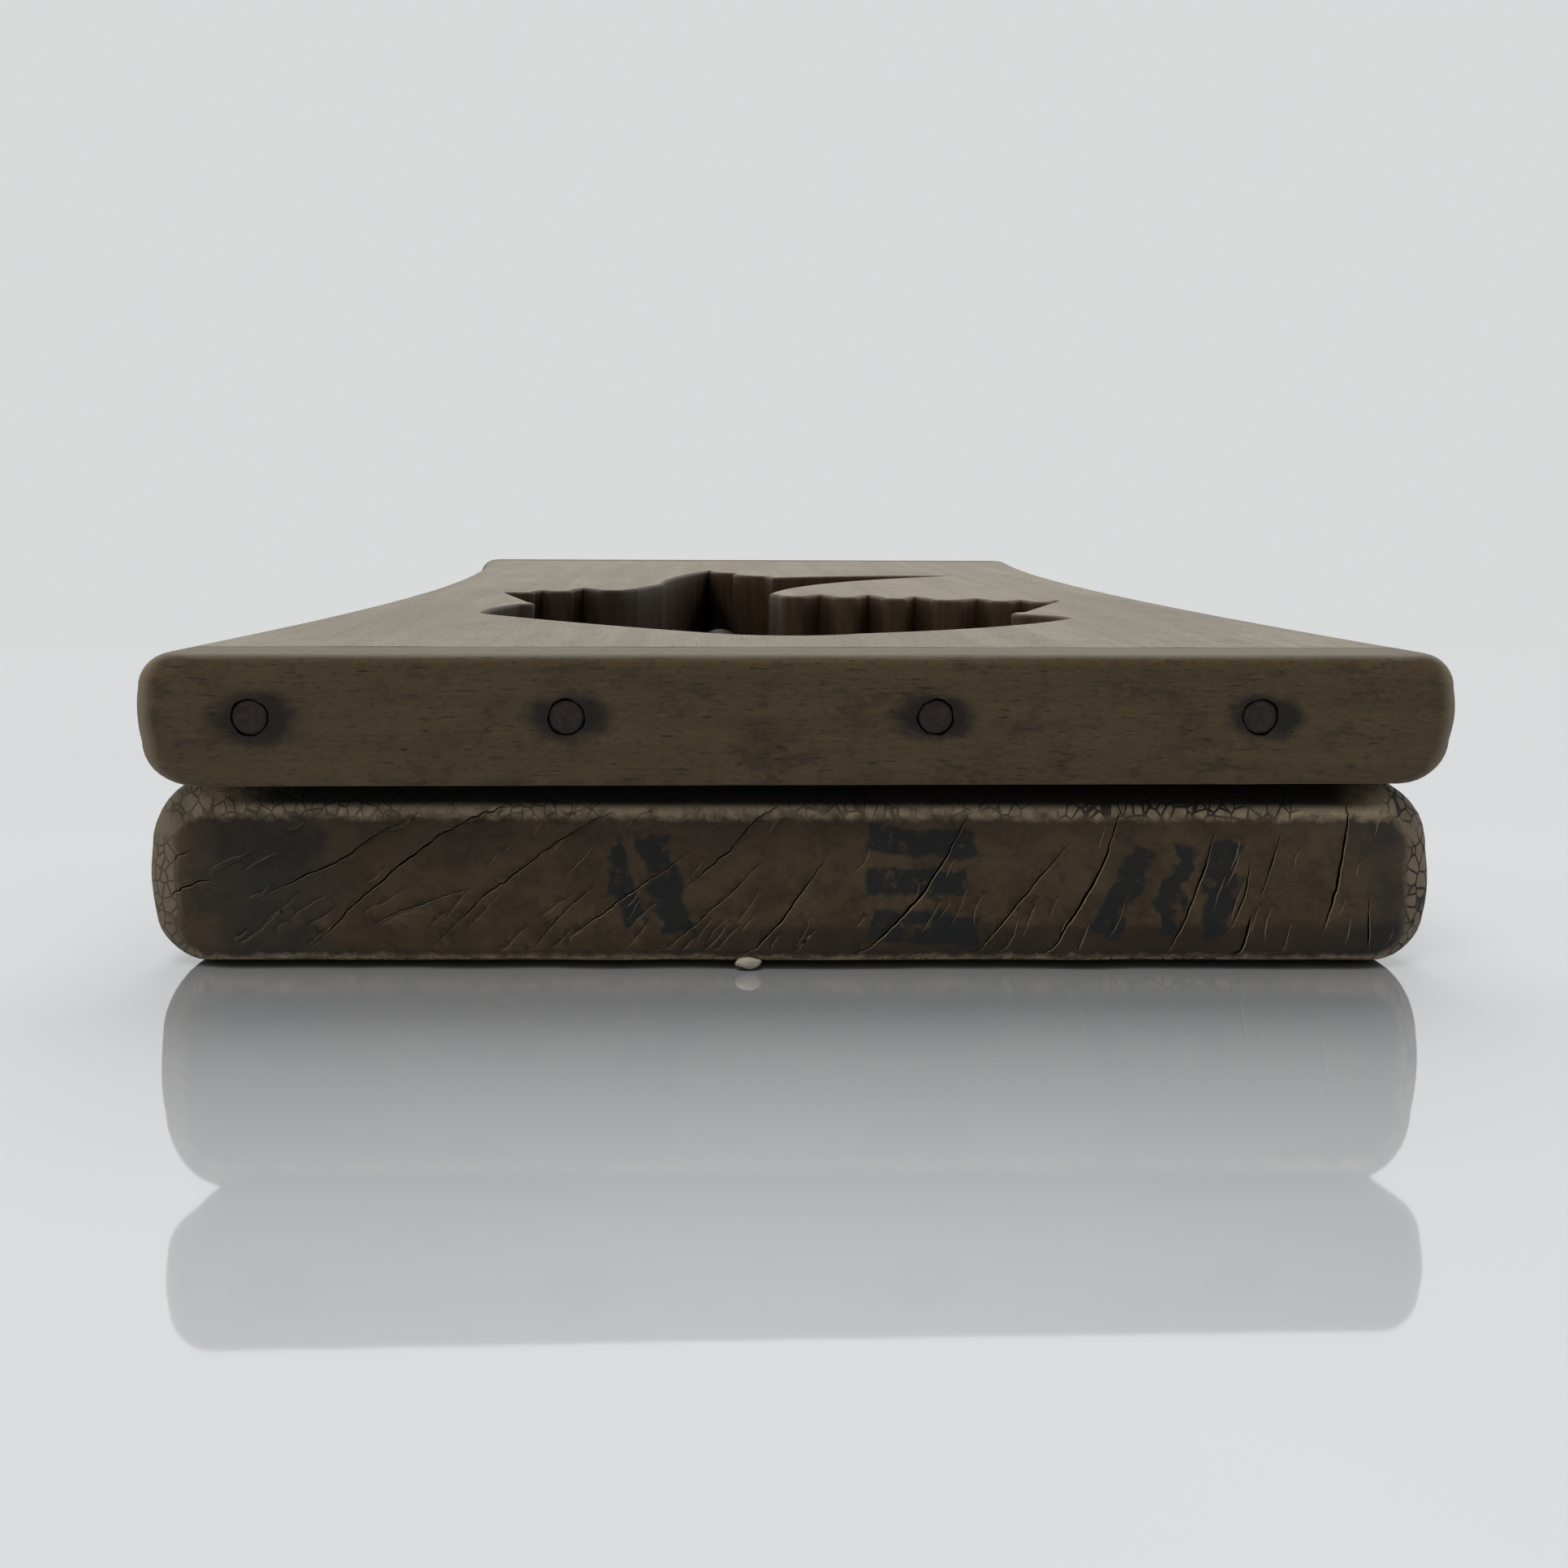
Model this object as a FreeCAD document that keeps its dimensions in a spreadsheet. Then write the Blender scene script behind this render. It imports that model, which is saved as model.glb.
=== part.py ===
"""A two-board wooden sweet mould: a thick block with a carved recess, and a frame board that lifts off.

The frame board is pierced right through with the same bird figure that is carved in the block below, so that
paste pressed through the frame takes the figure's outline from the frame and its relief from the block.
Lengths are millimetres. +X is right, +Y runs from the nailed front end to the rear, +Z is up.
The origin is the middle of the underside.
"""

import FreeCAD
import Part
import Sketcher

import math
import os

from FreeCAD import Placement, Rotation, Vector

DIMENSIONS = {
    # the two boards
    "frame_length": 342.0,
    "frame_width": 173.0,
    "frame_thickness": 17.0,
    "block_length": 338.0,
    "block_width": 172.0,
    "block_thickness": 26.0,
    "waist_left": 11.0,
    "waist_right": 10.0,
    # worn edges
    "frame_side_round": 4.8,
    "frame_end_round": 1.8,
    "block_top_round": 8.0,
    "block_foot_round": 6.5,
    "block_end_round": 3.0,
    # end cleats and their nails
    "cleat_depth": 12.0,
    "nail_length": 32.0,
    "nail_head_radius": 2.25,
    "nail_head_depth": 0.8,
    "nail_head_crown": 0.25,
    "nail_shank_radius": 1.05,
    "nail_point_length": 3.0,
    "nail_height": 9.0,
    "nail_clearance": 0.02,
    "nail_head_gap": 0.12,
    "nail_inset_left": 15.5,
    "nail_inset_right": 27.5,
    "nail_spacing_left": 40.0,
    "nail_spacing_right": 42.5,
    # locating pegs
    "peg_radius": 3.0,
    "peg_sunk": 12.0,
    "peg_proud": 7.0,
    "peg_nose": 1.2,
    "peg_clearance": 0.02,
    "peg_hole_clearance": 0.3,
    "peg_hole_spare": 1.0,
    "peg_side_inset": 20.0,
    "peg_end_inset": 42.0,
    # the figure
    "figure_setback": 32.0,
    "figure_offset": -1.5,
    "figure_spread": 0.03,
    "recess_depth": 7.0,
    "recess_taper": 0.04,
    "relief_depth": 4.5,
    "crest_height": 10.5,
    "crest_sunk": 7.0,
    "flute_depth": 2.2,
    "cut_margin": 1.0,
}

# Where the four nails of each end stand, left to right, from the middle of the frame.
NAIL_PLACES = (
    "-dims.frame_width / 2 + dims.nail_inset_left",
    "-dims.frame_width / 2 + dims.nail_inset_left + dims.nail_spacing_left",
    "dims.frame_width / 2 - dims.nail_inset_right - dims.nail_spacing_right",
    "dims.frame_width / 2 - dims.nail_inset_right",
)

# The figure's outline, anticlockwise from the left of the breast: x, y from the breast's foot, and the
# bulge of the side that starts there, as its rise over half its chord. A plus bulge swells outwards, and a
# minus one inwards.
BREAST = [(-10, 4, 0.38), (11, 4, 0.16)]
RIGHT_FLANK = [(49.5, 37, 0.35), (43.5, 46.5, -0.6), (44.5, 53, 0.0)]
RIGHT_SHOULDER = [(1.5, 112, -0.19)]
BRANCH = [(52, 197, 0.18), (5, 184, 0.0)]
NECK = [(3, 193, -0.4), (-4, 210, -0.3), (-11, 224, 0.07), (-22, 150, 0.0)]
LEFT_FLANK = [(-54, 113, 0.0), (-45, 78, -0.6), (-46.5, 73, 0.12), (-50, 47, 0.05)]

# The wings' scalloped edges: the tip of each feather, and the rounded finger of wood that follows it.
RIGHT_FEATHERS = [
    ((58, 88), (53.5, 80)),
    ((51, 90), (46, 83)),
    ((43, 95), (35.5, 85)),
    ((31, 101), (26, 88)),
    ((22, 107), (16.5, 92)),
    ((12, 108), (5.5, 96)),
]
LEFT_FEATHERS = [((-27, 129), (-32, 119)), ((-39, 131), (-43, 115)), ((-47, 121), (-50, 113))]
FINGER_SHARE = 0.5
FINGER_BULGE = -0.75

# The point that the figure grows away from, towards the foot of the frame.
HEART = (-3, 68)

# Hollows of the relief, below the recess floor: centre x, y, half width, half length, and turn from +Y in
# degrees.
BODY_HOLLOW = (-2, 60, 19, 42, 0)
NECK_HOLLOW = (-10, 142, 6.5, 27, 2)
BRANCH_HOLLOW = (24, 170, 5, 28, -40)

# The crest that is left standing on the recess floor, in the same terms.
CREST = (-8.5, 190, 10, 18, 0)
RIGHT_SHOULDER_POINT = (16, 62)
LEFT_SHOULDER_POINT = (-18, 78)
FLUTE_ROOT_RADIUS = 1.4
FLUTE_TIP_RADIUS = 3.8
FLUTE_START = 0.4
FLUTE_STOP = 7.0


def scallops(feathers, last_tip):
    """A wing's scalloped edge as a list of (x, y, bulge): straight to each finger of wood, and round it."""
    tips = [tip for tip, _ in feathers] + [last_tip]
    outline = []
    for (tip, finger), next_tip in zip(feathers, tips[1:]):
        outline.append((*tip, 0.0))
        for side, bulge in ((tip, FINGER_BULGE), (next_tip, 0.0)):
            x, y = (f + (t - f) * FINGER_SHARE for f, t in zip(finger, side))
            outline.append((x, y, bulge))
    return outline


def figure():
    """The outline of the figure as a list of (x, y, bulge)."""
    right_wing = scallops(RIGHT_FEATHERS, RIGHT_SHOULDER[0][:2])
    left_wing = scallops(LEFT_FEATHERS, LEFT_FLANK[0][:2])
    right = BREAST + RIGHT_FLANK + right_wing + RIGHT_SHOULDER
    return right + BRANCH + NECK + left_wing + LEFT_FLANK


def grown(outline, share):
    """The outline grown away from the figure's heart by a share of its size."""
    hx, hy = HEART
    size = 1 + share
    return [(hx + (x - hx) * size, hy + (y - hy) * size, bulge) for x, y, bulge in outline]


def outline_wire(outline, height, breast):
    """A closed wire of arcs and straight sides through the outline's corners, at a height."""
    edges = []
    for i, (x, y, bulge) in enumerate(outline):
        after = outline[(i + 1) % len(outline)]
        start = Vector(x, y, height) + breast
        end = Vector(after[0], after[1], height) + breast
        if bulge == 0:
            edges.append(Part.LineSegment(start, end).toShape())
            continue
        side = end - start
        rise = Vector(side.y, -side.x, 0) * (bulge / 2)
        edges.append(Part.Arc(start, (start + end) * 0.5 + rise, end).toShape())
    return Part.Wire(edges)


def make_sheet(doc):
    """The spreadsheet of driving dimensions, one named cell each."""
    sheet = doc.addObject("Spreadsheet::Sheet", "dims")
    for row, (name, value) in enumerate(DIMENSIONS.items(), start=1):
        sheet.set(f"A{row}", name)
        sheet.set(f"B{row}", str(value))
        sheet.setAlias(f"B{row}", name)
    doc.recompute()
    return sheet


def bind(obj, **expressions):
    """Binds properties of an object to expressions in the sheet's cells; x, y and z bind its place."""
    for name, expression in expressions.items():
        path = f".Placement.Base.{name}" if name in ("x", "y", "z") else name
        obj.setExpression(path, expression)


def origin_plane(body, role):
    """The origin plane of a body with that role."""
    return next(o for o in body.Origin.OriginFeatures if o.Role == role)


def waisted_sketch(body, name, width, length, waists):
    """A sketch of a board's plan: straight ends and long sides hollowed to a waist by one arc each.
    width, length and waists (right, left) are (value, expression) pairs."""
    sketch = body.newObject("Sketcher::SketchObject", name)
    sketch.AttachmentSupport = [(origin_plane(body, "XY_Plane"), "")]
    sketch.MapMode = "FlatFace"
    half_w = width[0] / 2
    half_l = length[0] / 2
    radii = [(half_l**2 + waist[0] ** 2) / (2 * waist[0]) for waist in waists]
    turns = [math.asin(half_l / radius) for radius in radii]
    right_centre = Vector(half_w - waists[0][0] + radii[0], 0, 0)
    left_centre = Vector(-half_w + waists[1][0] - radii[1], 0, 0)
    up = Vector(0, 0, 1)
    sketch.addGeometry(
        Part.LineSegment(Vector(-half_w, -half_l, 0), Vector(half_w, -half_l, 0))
    )
    sketch.addGeometry(
        Part.ArcOfCircle(
            Part.Circle(right_centre, up, radii[0]),
            math.pi - turns[0],
            math.pi + turns[0],
        )
    )
    sketch.addGeometry(
        Part.LineSegment(Vector(half_w, half_l, 0), Vector(-half_w, half_l, 0))
    )
    sketch.addGeometry(
        Part.ArcOfCircle(
            Part.Circle(left_centre, up, radii[1]), -turns[1], turns[1]
        )
    )
    rule = Sketcher.Constraint
    sketch.addConstraint(rule("Coincident", 0, 2, 1, 2))
    sketch.addConstraint(rule("Coincident", 1, 1, 2, 1))
    sketch.addConstraint(rule("Coincident", 2, 2, 3, 2))
    sketch.addConstraint(rule("Coincident", 3, 1, 0, 1))
    sketch.addConstraint(rule("Symmetric", 0, 1, 0, 2, -2))
    sketch.addConstraint(rule("Symmetric", 2, 1, 2, 2, -2))
    sketch.addConstraint(rule("Symmetric", 0, 1, 2, 2, -1))
    sizes = {
        "width": (rule("DistanceX", 0, 1, 0, 2, width[0]), width[1]),
        "length": (rule("DistanceY", 0, 1, 2, 2, length[0]), length[1]),
    }
    for label, edge, radius, waist in zip(
        ("right_radius", "left_radius"), (1, 3), radii, waists
    ):
        formula = f"(({length[1]})^2 / 4 + {waist[1]}^2) / (2 * {waist[1]})"
        sizes[label] = (rule("Radius", edge, radius), formula)
    for label, (constraint, expression) in sizes.items():
        index = sketch.addConstraint(constraint)
        sketch.renameConstraint(index, label)
        sketch.setExpression(f"Constraints.{label}", expression)
    return sketch


def edge_names(shape, wanted):
    """The names of a shape's edges whose bounding box passes a test."""
    return [
        f"Edge{i}" for i, edge in enumerate(shape.Edges, start=1) if wanted(edge.BoundBox)
    ]


def rounded_board(doc, name, length, width, thickness, base, sides, end_round):
    """A waisted board as a body: a padded plan, its long edges rounded, then the edges of its two ends.
    sides is (top radius, foot radius) as names of cells, like length, width, thickness and end_round."""
    cells = DIMENSIONS
    body = doc.addObject("PartDesign::Body", name)
    sketch = waisted_sketch(
        body,
        f"{name}_plan",
        (cells[width], f"dims.{width}"),
        (cells[length], f"dims.{length}"),
        (
            (cells["waist_right"], "dims.waist_right"),
            (cells["waist_left"], "dims.waist_left"),
        ),
    )
    pad = body.newObject("PartDesign::Pad", f"{name}_pad")
    pad.Profile = sketch
    pad.setExpression("Length", f"dims.{thickness}")
    doc.recompute()
    half_l = cells[length] / 2
    near = 0.01
    levels = (cells[thickness], 0.0)
    last = pad
    for label, level, radius in zip(("top", "foot"), levels, sides):
        fillet = body.newObject("PartDesign::Fillet", f"{name}_{label}_round")
        long_edges = edge_names(
            last.Shape,
            lambda b, z=level: abs(b.ZMin - z) < near
            and abs(b.ZMax - z) < near
            and b.YLength > half_l,
        )
        fillet.Base = (last, long_edges)
        fillet.setExpression("Radius", f"dims.{radius}")
        doc.recompute()
        last = fillet
    ends = body.newObject("PartDesign::Fillet", f"{name}_end_round")
    end_edges = edge_names(
        last.Shape, lambda b: b.YLength < near and abs(abs(b.YMin) - half_l) < near
    )
    ends.Base = (last, end_edges)
    ends.setExpression("Radius", f"dims.{end_round}")
    body.Tip = ends
    bind(body, z=base)
    doc.recompute()
    return body


def slab(doc, name, y, depth):
    """A box across the whole frame board, from y over a depth, that parts it into board and cleats."""
    box = doc.addObject("Part::Box", name)
    bind(
        box,
        Length="dims.frame_width + 2 * dims.cut_margin",
        Width=depth,
        Height="dims.frame_thickness + 2 * dims.cut_margin",
        x="-dims.frame_width / 2 - dims.cut_margin",
        y=y,
        z="dims.block_thickness - dims.cut_margin",
    )
    return box


def cylinder(doc, name, radius, height, z="0"):
    """A cylinder on the Z axis from z, its sizes bound to expressions."""
    piece = doc.addObject("Part::Cylinder", name)
    bind(piece, Radius=radius, Height=height, z=z)
    return piece


def cone(doc, name, radius_1, radius_2, height, z="0"):
    """A cone on the Z axis from z, its sizes bound to expressions."""
    piece = doc.addObject("Part::Cone", name)
    bind(piece, Radius1=radius_1, Radius2=radius_2, Height=height, z=z)
    return piece


def fused(doc, name, pieces):
    """Several pieces as one solid."""
    whole = doc.addObject("Part::MultiFuse", name)
    whole.Shapes = pieces
    whole.Refine = True
    return whole


def cut(doc, name, base, tools):
    """A base with tools taken out of it."""
    cutter = fused(doc, f"{name}_cutter", tools) if len(tools) > 1 else tools[0]
    result = doc.addObject("Part::Cut", name)
    result.Base = base
    result.Tool = cutter
    return result


def stand_nail(piece, place, end):
    """Turns a nail, or its hole, to lie along Y at one end, and binds its place."""
    piece.Placement = Placement(
        Vector(0, 0, 0), Rotation(Vector(1, 0, 0), 90 * end)
    )
    bind(
        piece,
        x=place,
        y=f"{end} * dims.frame_length / 2",
        z="dims.block_thickness + dims.nail_height",
    )


def nail(doc, name, place, end):
    """A round-headed iron nail, flush with the end of its cleat."""
    crown = cone(
        doc,
        f"{name}_crown",
        "dims.nail_head_radius - dims.nail_head_crown",
        "dims.nail_head_radius",
        "dims.nail_head_crown",
    )
    head = cylinder(
        doc,
        f"{name}_head",
        "dims.nail_head_radius",
        "dims.nail_head_depth",
        "dims.nail_head_crown",
    )
    shank = cylinder(
        doc,
        f"{name}_shank",
        "dims.nail_shank_radius",
        "dims.nail_length - dims.nail_point_length",
    )
    point = cone(
        doc,
        f"{name}_point",
        "dims.nail_shank_radius",
        "dims.nail_shank_radius / 4",
        "dims.nail_point_length",
        "dims.nail_length - dims.nail_point_length",
    )
    whole = fused(doc, name, [crown, head, shank, point])
    stand_nail(whole, place, end)
    return whole


def nail_hole(doc, name, place, end):
    """The hole that a nail leaves: a pocket for its head and a bore for its shank."""
    pocket = cylinder(
        doc,
        f"{name}_pocket",
        "dims.nail_head_radius + dims.nail_head_gap",
        "dims.cut_margin + dims.nail_head_crown + dims.nail_head_depth",
        "-dims.cut_margin",
    )
    bore = cylinder(
        doc,
        f"{name}_bore",
        "dims.nail_shank_radius + dims.nail_clearance",
        "dims.nail_length + dims.nail_clearance",
    )
    whole = fused(doc, name, [pocket, bore])
    stand_nail(whole, place, end)
    return whole


def stand_peg(piece, side, end, z):
    """Binds a peg, or its hole, to its corner of the mould."""
    bind(
        piece,
        x=f"{side} * (dims.block_width / 2 - dims.peg_side_inset)",
        y=f"{end} * (dims.frame_length / 2 - dims.peg_end_inset)",
        z=z,
    )


def peg(doc, name, side, end):
    """A bamboo locating peg, driven into the block and nosed to enter the frame board."""
    stem = cylinder(
        doc,
        f"{name}_stem",
        "dims.peg_radius",
        "dims.peg_sunk + dims.peg_proud - dims.peg_nose",
    )
    nose = cone(
        doc,
        f"{name}_nose",
        "dims.peg_radius",
        "dims.peg_radius - dims.peg_nose / 2",
        "dims.peg_nose",
        "dims.peg_sunk + dims.peg_proud - dims.peg_nose",
    )
    whole = fused(doc, name, [stem, nose])
    stand_peg(whole, side, end, "dims.block_thickness - dims.peg_sunk")
    return whole


def figure_cutter(doc, name, low, high, breast):
    """A solid between two heights that follows the figure; low and high are (height, growth) pairs."""
    sections = []
    for label, (height, growth) in (("low", low), ("high", high)):
        section = doc.addObject("Part::Feature", f"{name}_{label}")
        section.Shape = outline_wire(grown(figure(), growth), height, breast)
        sections.append(section)
    loft = doc.addObject("Part::Loft", name)
    loft.Sections = sections
    loft.Solid = True
    loft.Ruled = True
    return loft


def ellipsoid(doc, name, place, centre_z, half_height, breast):
    """A long ellipsoid, for a hollow sunk below the recess floor or a crest left standing on it.
    Its poles are the ends of its length, where no surface of the block meets them."""
    x, y, half_w, half_l, turn = place
    egg = doc.addObject("Part::Ellipsoid", name)
    egg.Radius1 = half_l
    egg.Radius2 = half_w
    egg.Angle1 = -90
    egg.Angle2 = 90
    egg.Angle3 = 360
    upright = Rotation(Vector(0, 0, 1), turn) * Rotation(Vector(1, 0, 0), 90)
    egg.Placement = Placement(Vector(x, y, 0) + breast, upright)
    bind(egg, Radius3=half_height, z=centre_z)
    return egg


def flute(doc, name, shoulder, tip, floor, breast):
    """A feather's flute: a cone that widens and sinks, from part of the way out from the wing's shoulder
    to just short of the feather's tip."""
    sunk = DIMENSIONS["flute_depth"]
    reach = Vector(tip[0] - shoulder[0], tip[1] - shoulder[1], 0)
    root_z = floor + FLUTE_ROOT_RADIUS - sunk / 3
    tip_z = floor + FLUTE_TIP_RADIUS - sunk
    start = Vector(*shoulder, root_z) + breast + reach * FLUTE_START
    run = reach * (1 - FLUTE_START - FLUTE_STOP / reach.Length)
    axis = run + Vector(0, 0, tip_z - root_z)
    groove = doc.addObject("Part::Cone", name)
    groove.Radius1 = FLUTE_ROOT_RADIUS
    groove.Radius2 = FLUTE_TIP_RADIUS
    groove.Height = axis.Length
    groove.Placement = Placement(start, Rotation(Vector(0, 0, 1), axis))
    return groove


def relief(doc, breast):
    """Everything carved out of the block: the recess, the hollows in its floor and the feathers' flutes."""
    cells = DIMENSIONS
    top = cells["block_thickness"]
    floor = top - cells["recess_depth"]
    above = cells["cut_margin"]
    spread = cells["figure_spread"]
    taper = cells["recess_taper"]
    recess = figure_cutter(
        doc,
        "recess",
        (floor, spread - taper),
        (top + above, spread + taper / cells["recess_depth"] * above),
        breast,
    )
    tools = [recess]
    hollows = {"body": BODY_HOLLOW, "neck": NECK_HOLLOW, "branch": BRANCH_HOLLOW}
    for name, place in hollows.items():
        tools.append(
            ellipsoid(
                doc,
                f"{name}_hollow",
                place,
                "dims.block_thickness - dims.recess_depth + dims.relief_depth",
                "2 * dims.relief_depth",
                breast,
            )
        )
    wings = {
        "right": (RIGHT_SHOULDER_POINT, RIGHT_FEATHERS),
        "left": (LEFT_SHOULDER_POINT, LEFT_FEATHERS),
    }
    for side, (root, feathers) in wings.items():
        for number, (tip, _) in enumerate(feathers, start=1):
            name = f"{side}_flute_{number}"
            tools.append(flute(doc, name, root, tip, floor, breast))
    return tools


def build(doc):
    """Makes the whole mould and returns its sub-parts by name."""
    cells = DIMENSIONS
    make_sheet(doc)
    half_l = cells["frame_length"] / 2
    breast = Vector(cells["figure_offset"], cells["figure_setback"] - half_l, 0)
    base = cells["block_thickness"]
    top = base + cells["frame_thickness"]
    above = cells["cut_margin"]
    spread = cells["figure_spread"]
    past = spread / cells["frame_thickness"] * above

    block_blank = rounded_board(
        doc,
        "block_blank",
        "block_length",
        "block_width",
        "block_thickness",
        "0",
        ("block_top_round", "block_foot_round"),
        "block_end_round",
    )
    frame_blank = rounded_board(
        doc,
        "frame_blank",
        "frame_length",
        "frame_width",
        "frame_thickness",
        "dims.block_thickness",
        ("frame_side_round", "frame_side_round"),
        "frame_end_round",
    )

    parts = {}
    corners = [
        (f"{end_name}_{side_name}", side, end)
        for end_name, end in (("front", -1), ("rear", 1))
        for side_name, side in (("left", -1), ("right", 1))
    ]
    block_holes = []
    frame_holes = []
    for corner, side, end in corners:
        parts[f"{corner}_peg"] = peg(doc, f"{corner}_peg", side, end)
        driven = cylinder(
            doc,
            f"{corner}_block_hole",
            "dims.peg_radius + dims.peg_clearance",
            "dims.peg_sunk + dims.cut_margin",
        )
        stand_peg(driven, side, end, "dims.block_thickness - dims.peg_sunk")
        block_holes.append(driven)
        entered = cylinder(
            doc,
            f"{corner}_frame_hole",
            "dims.peg_radius + dims.peg_hole_clearance",
            "dims.peg_proud + dims.peg_hole_spare + dims.cut_margin",
        )
        stand_peg(entered, side, end, "dims.block_thickness - dims.cut_margin")
        frame_holes.append(entered)

    cleat_holes = {"front": [], "rear": []}
    for end_name, end in (("front", -1), ("rear", 1)):
        for number, place in enumerate(NAIL_PLACES, start=1):
            name = f"{end_name}_nail_{number}"
            parts[name] = nail(doc, name, place, end)
            cleat_holes[end_name].append(nail_hole(doc, f"{name}_hole", place, end))

    pierced = figure_cutter(
        doc,
        "pierced_figure",
        (base - above, spread + past),
        (top + above, -past),
        breast,
    )
    middle = doc.addObject("Part::Common", "middle_of_frame")
    middle.Base = frame_blank
    middle.Tool = slab(
        doc,
        "middle_slab",
        "-dims.frame_length / 2 + dims.cleat_depth",
        "dims.frame_length - 2 * dims.cleat_depth",
    )
    parts["frame_board"] = cut(
        doc,
        "frame_board",
        middle,
        [pierced] + frame_holes + cleat_holes["front"] + cleat_holes["rear"],
    )
    cleat_starts = {
        "front": "-dims.frame_length / 2 - dims.cut_margin",
        "rear": "dims.frame_length / 2 - dims.cleat_depth",
    }
    for end_name, start in cleat_starts.items():
        strip = doc.addObject("Part::Common", f"{end_name}_strip")
        strip.Base = frame_blank
        strip.Tool = slab(
            doc, f"{end_name}_slab", start, "dims.cleat_depth + dims.cut_margin"
        )
        parts[f"{end_name}_cleat"] = cut(
            doc, f"{end_name}_cleat", strip, cleat_holes[end_name]
        )

    hollowed = cut(doc, "hollowed_block", block_blank, relief(doc, breast) + block_holes)
    crest = ellipsoid(
        doc,
        "crest",
        CREST,
        "dims.block_thickness - dims.recess_depth - dims.crest_sunk",
        "dims.crest_height + dims.crest_sunk",
        breast,
    )
    crest.Angle3 = 180
    parts["carved_block"] = fused(doc, "carved_block", [hollowed, crest])
    doc.recompute()
    return parts


def main():
    doc = FreeCAD.newDocument("sweet_mould")
    parts = build(doc)
    for obj in doc.Objects:
        if "Invalid" in obj.State or "Error" in obj.State:
            raise RuntimeError(f"{obj.Name} did not compute: {obj.State}")
    for name, obj in parts.items():
        obj.Label = name
        shape = obj.Shape
        if shape.isNull() or not shape.isValid() or not shape.Solids:
            raise RuntimeError(f"{name} is not a valid solid")
    os.makedirs("parts", exist_ok=True)
    for name, obj in parts.items():
        shape = obj.Shape
        shape.exportStep(os.path.join("parts", f"{name}.step"))
        print(name, len(shape.Solids), "solid,", round(shape.Volume, 1), "mm3")


main()
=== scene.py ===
"""The looks of a two-board wooden sweet mould: worn boards, nailed cleats, checked end grain and brushed ink.

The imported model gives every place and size; this script gives each board its worn shape, its carving's
softened edges, its drying checks and its finish. Lengths are metres, in the model's own frame: +X right,
+Y from the nailed front end to the rear, +Z up.
"""

import functools
import math
import random

import bmesh
import bpy
import numpy as np
from bpy.props import FloatProperty, FloatVectorProperty, PointerProperty
from mathutils import Euler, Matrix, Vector, noise


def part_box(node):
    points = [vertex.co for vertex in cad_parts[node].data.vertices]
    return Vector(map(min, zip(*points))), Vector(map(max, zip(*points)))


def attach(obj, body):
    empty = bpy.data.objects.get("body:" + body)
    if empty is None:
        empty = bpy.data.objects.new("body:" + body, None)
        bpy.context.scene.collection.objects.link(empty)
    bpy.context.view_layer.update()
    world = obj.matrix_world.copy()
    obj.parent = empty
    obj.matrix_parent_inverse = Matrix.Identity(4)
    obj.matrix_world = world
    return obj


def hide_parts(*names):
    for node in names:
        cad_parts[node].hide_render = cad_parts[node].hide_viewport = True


bl_info = {
    "name": "Sweet Mould",
    "version": (1, 0, 0),
    "blender": (4, 5, 0),
    "location": "View3D > Sidebar > Sweet Mould",
    "description": "Builds the worn boards, nails, pegs and stage of a carved wooden sweet mould",
    "category": "Add Mesh",
}

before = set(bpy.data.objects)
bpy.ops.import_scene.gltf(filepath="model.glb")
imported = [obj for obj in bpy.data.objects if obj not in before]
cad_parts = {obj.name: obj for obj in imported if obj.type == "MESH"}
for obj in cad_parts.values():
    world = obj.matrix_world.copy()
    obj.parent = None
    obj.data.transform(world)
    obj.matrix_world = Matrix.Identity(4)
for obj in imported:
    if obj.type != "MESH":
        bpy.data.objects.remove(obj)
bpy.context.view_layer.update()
MM = 0.001
# Points nearer than this are one point.
WELD = 0.002 * MM

FRAME_NAILS = [f"{end}_nail_{n}" for end in ("front", "rear") for n in range(1, 5)]
PEGS = [f"{end}_{side}_peg" for end in ("front", "rear") for side in ("left", "right")]


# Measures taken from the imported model


def node_box(node):
    """A node's lowest and highest corners, as arrays."""
    low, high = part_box(node)
    return np.array(low), np.array(high)


def middle(node):
    """The middle of a node's box."""
    low, high = node_box(node)
    return (low + high) / 2


FRAME_LOW, FRAME_HIGH = node_box("frame_board")
FRONT_LOW, FRONT_HIGH = node_box("front_cleat")
REAR_LOW, REAR_HIGH = node_box("rear_cleat")
BLOCK_LOW, BLOCK_HIGH = node_box("carved_block")
FRAME_FOOT = FRAME_LOW[2]
FRAME_TOP = FRAME_HIGH[2]
HALF_LENGTH = REAR_HIGH[1]
NAIL_RADIUS = (node_box(FRAME_NAILS[0])[1] - node_box(FRAME_NAILS[0])[0])[0] / 2
PEG_RADIUS = (node_box(PEGS[0])[1] - node_box(PEGS[0])[0])[0] / 2


# The values that a user would change


def linear(code):
    """A colour's linear red, green and blue, from its sRGB hex code."""
    channels = [int(code[i : i + 2], 16) / 255 for i in (1, 3, 5)]
    return tuple(c / 12.92 if c <= 0.04045 else ((c + 0.055) / 1.055) ** 2.4 for c in channels)


def length_prop(name, description, millimetres):
    """A length in metres, from its default in millimetres."""
    return FloatProperty(
        name=name, description=description, default=millimetres * MM, unit="LENGTH", precision=5
    )


def colour_prop(name, description, code):
    """A colour, from its default sRGB hex code."""
    return FloatVectorProperty(
        name=name, description=description, default=linear(code), subtype="COLOR", min=0, max=1
    )


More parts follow.
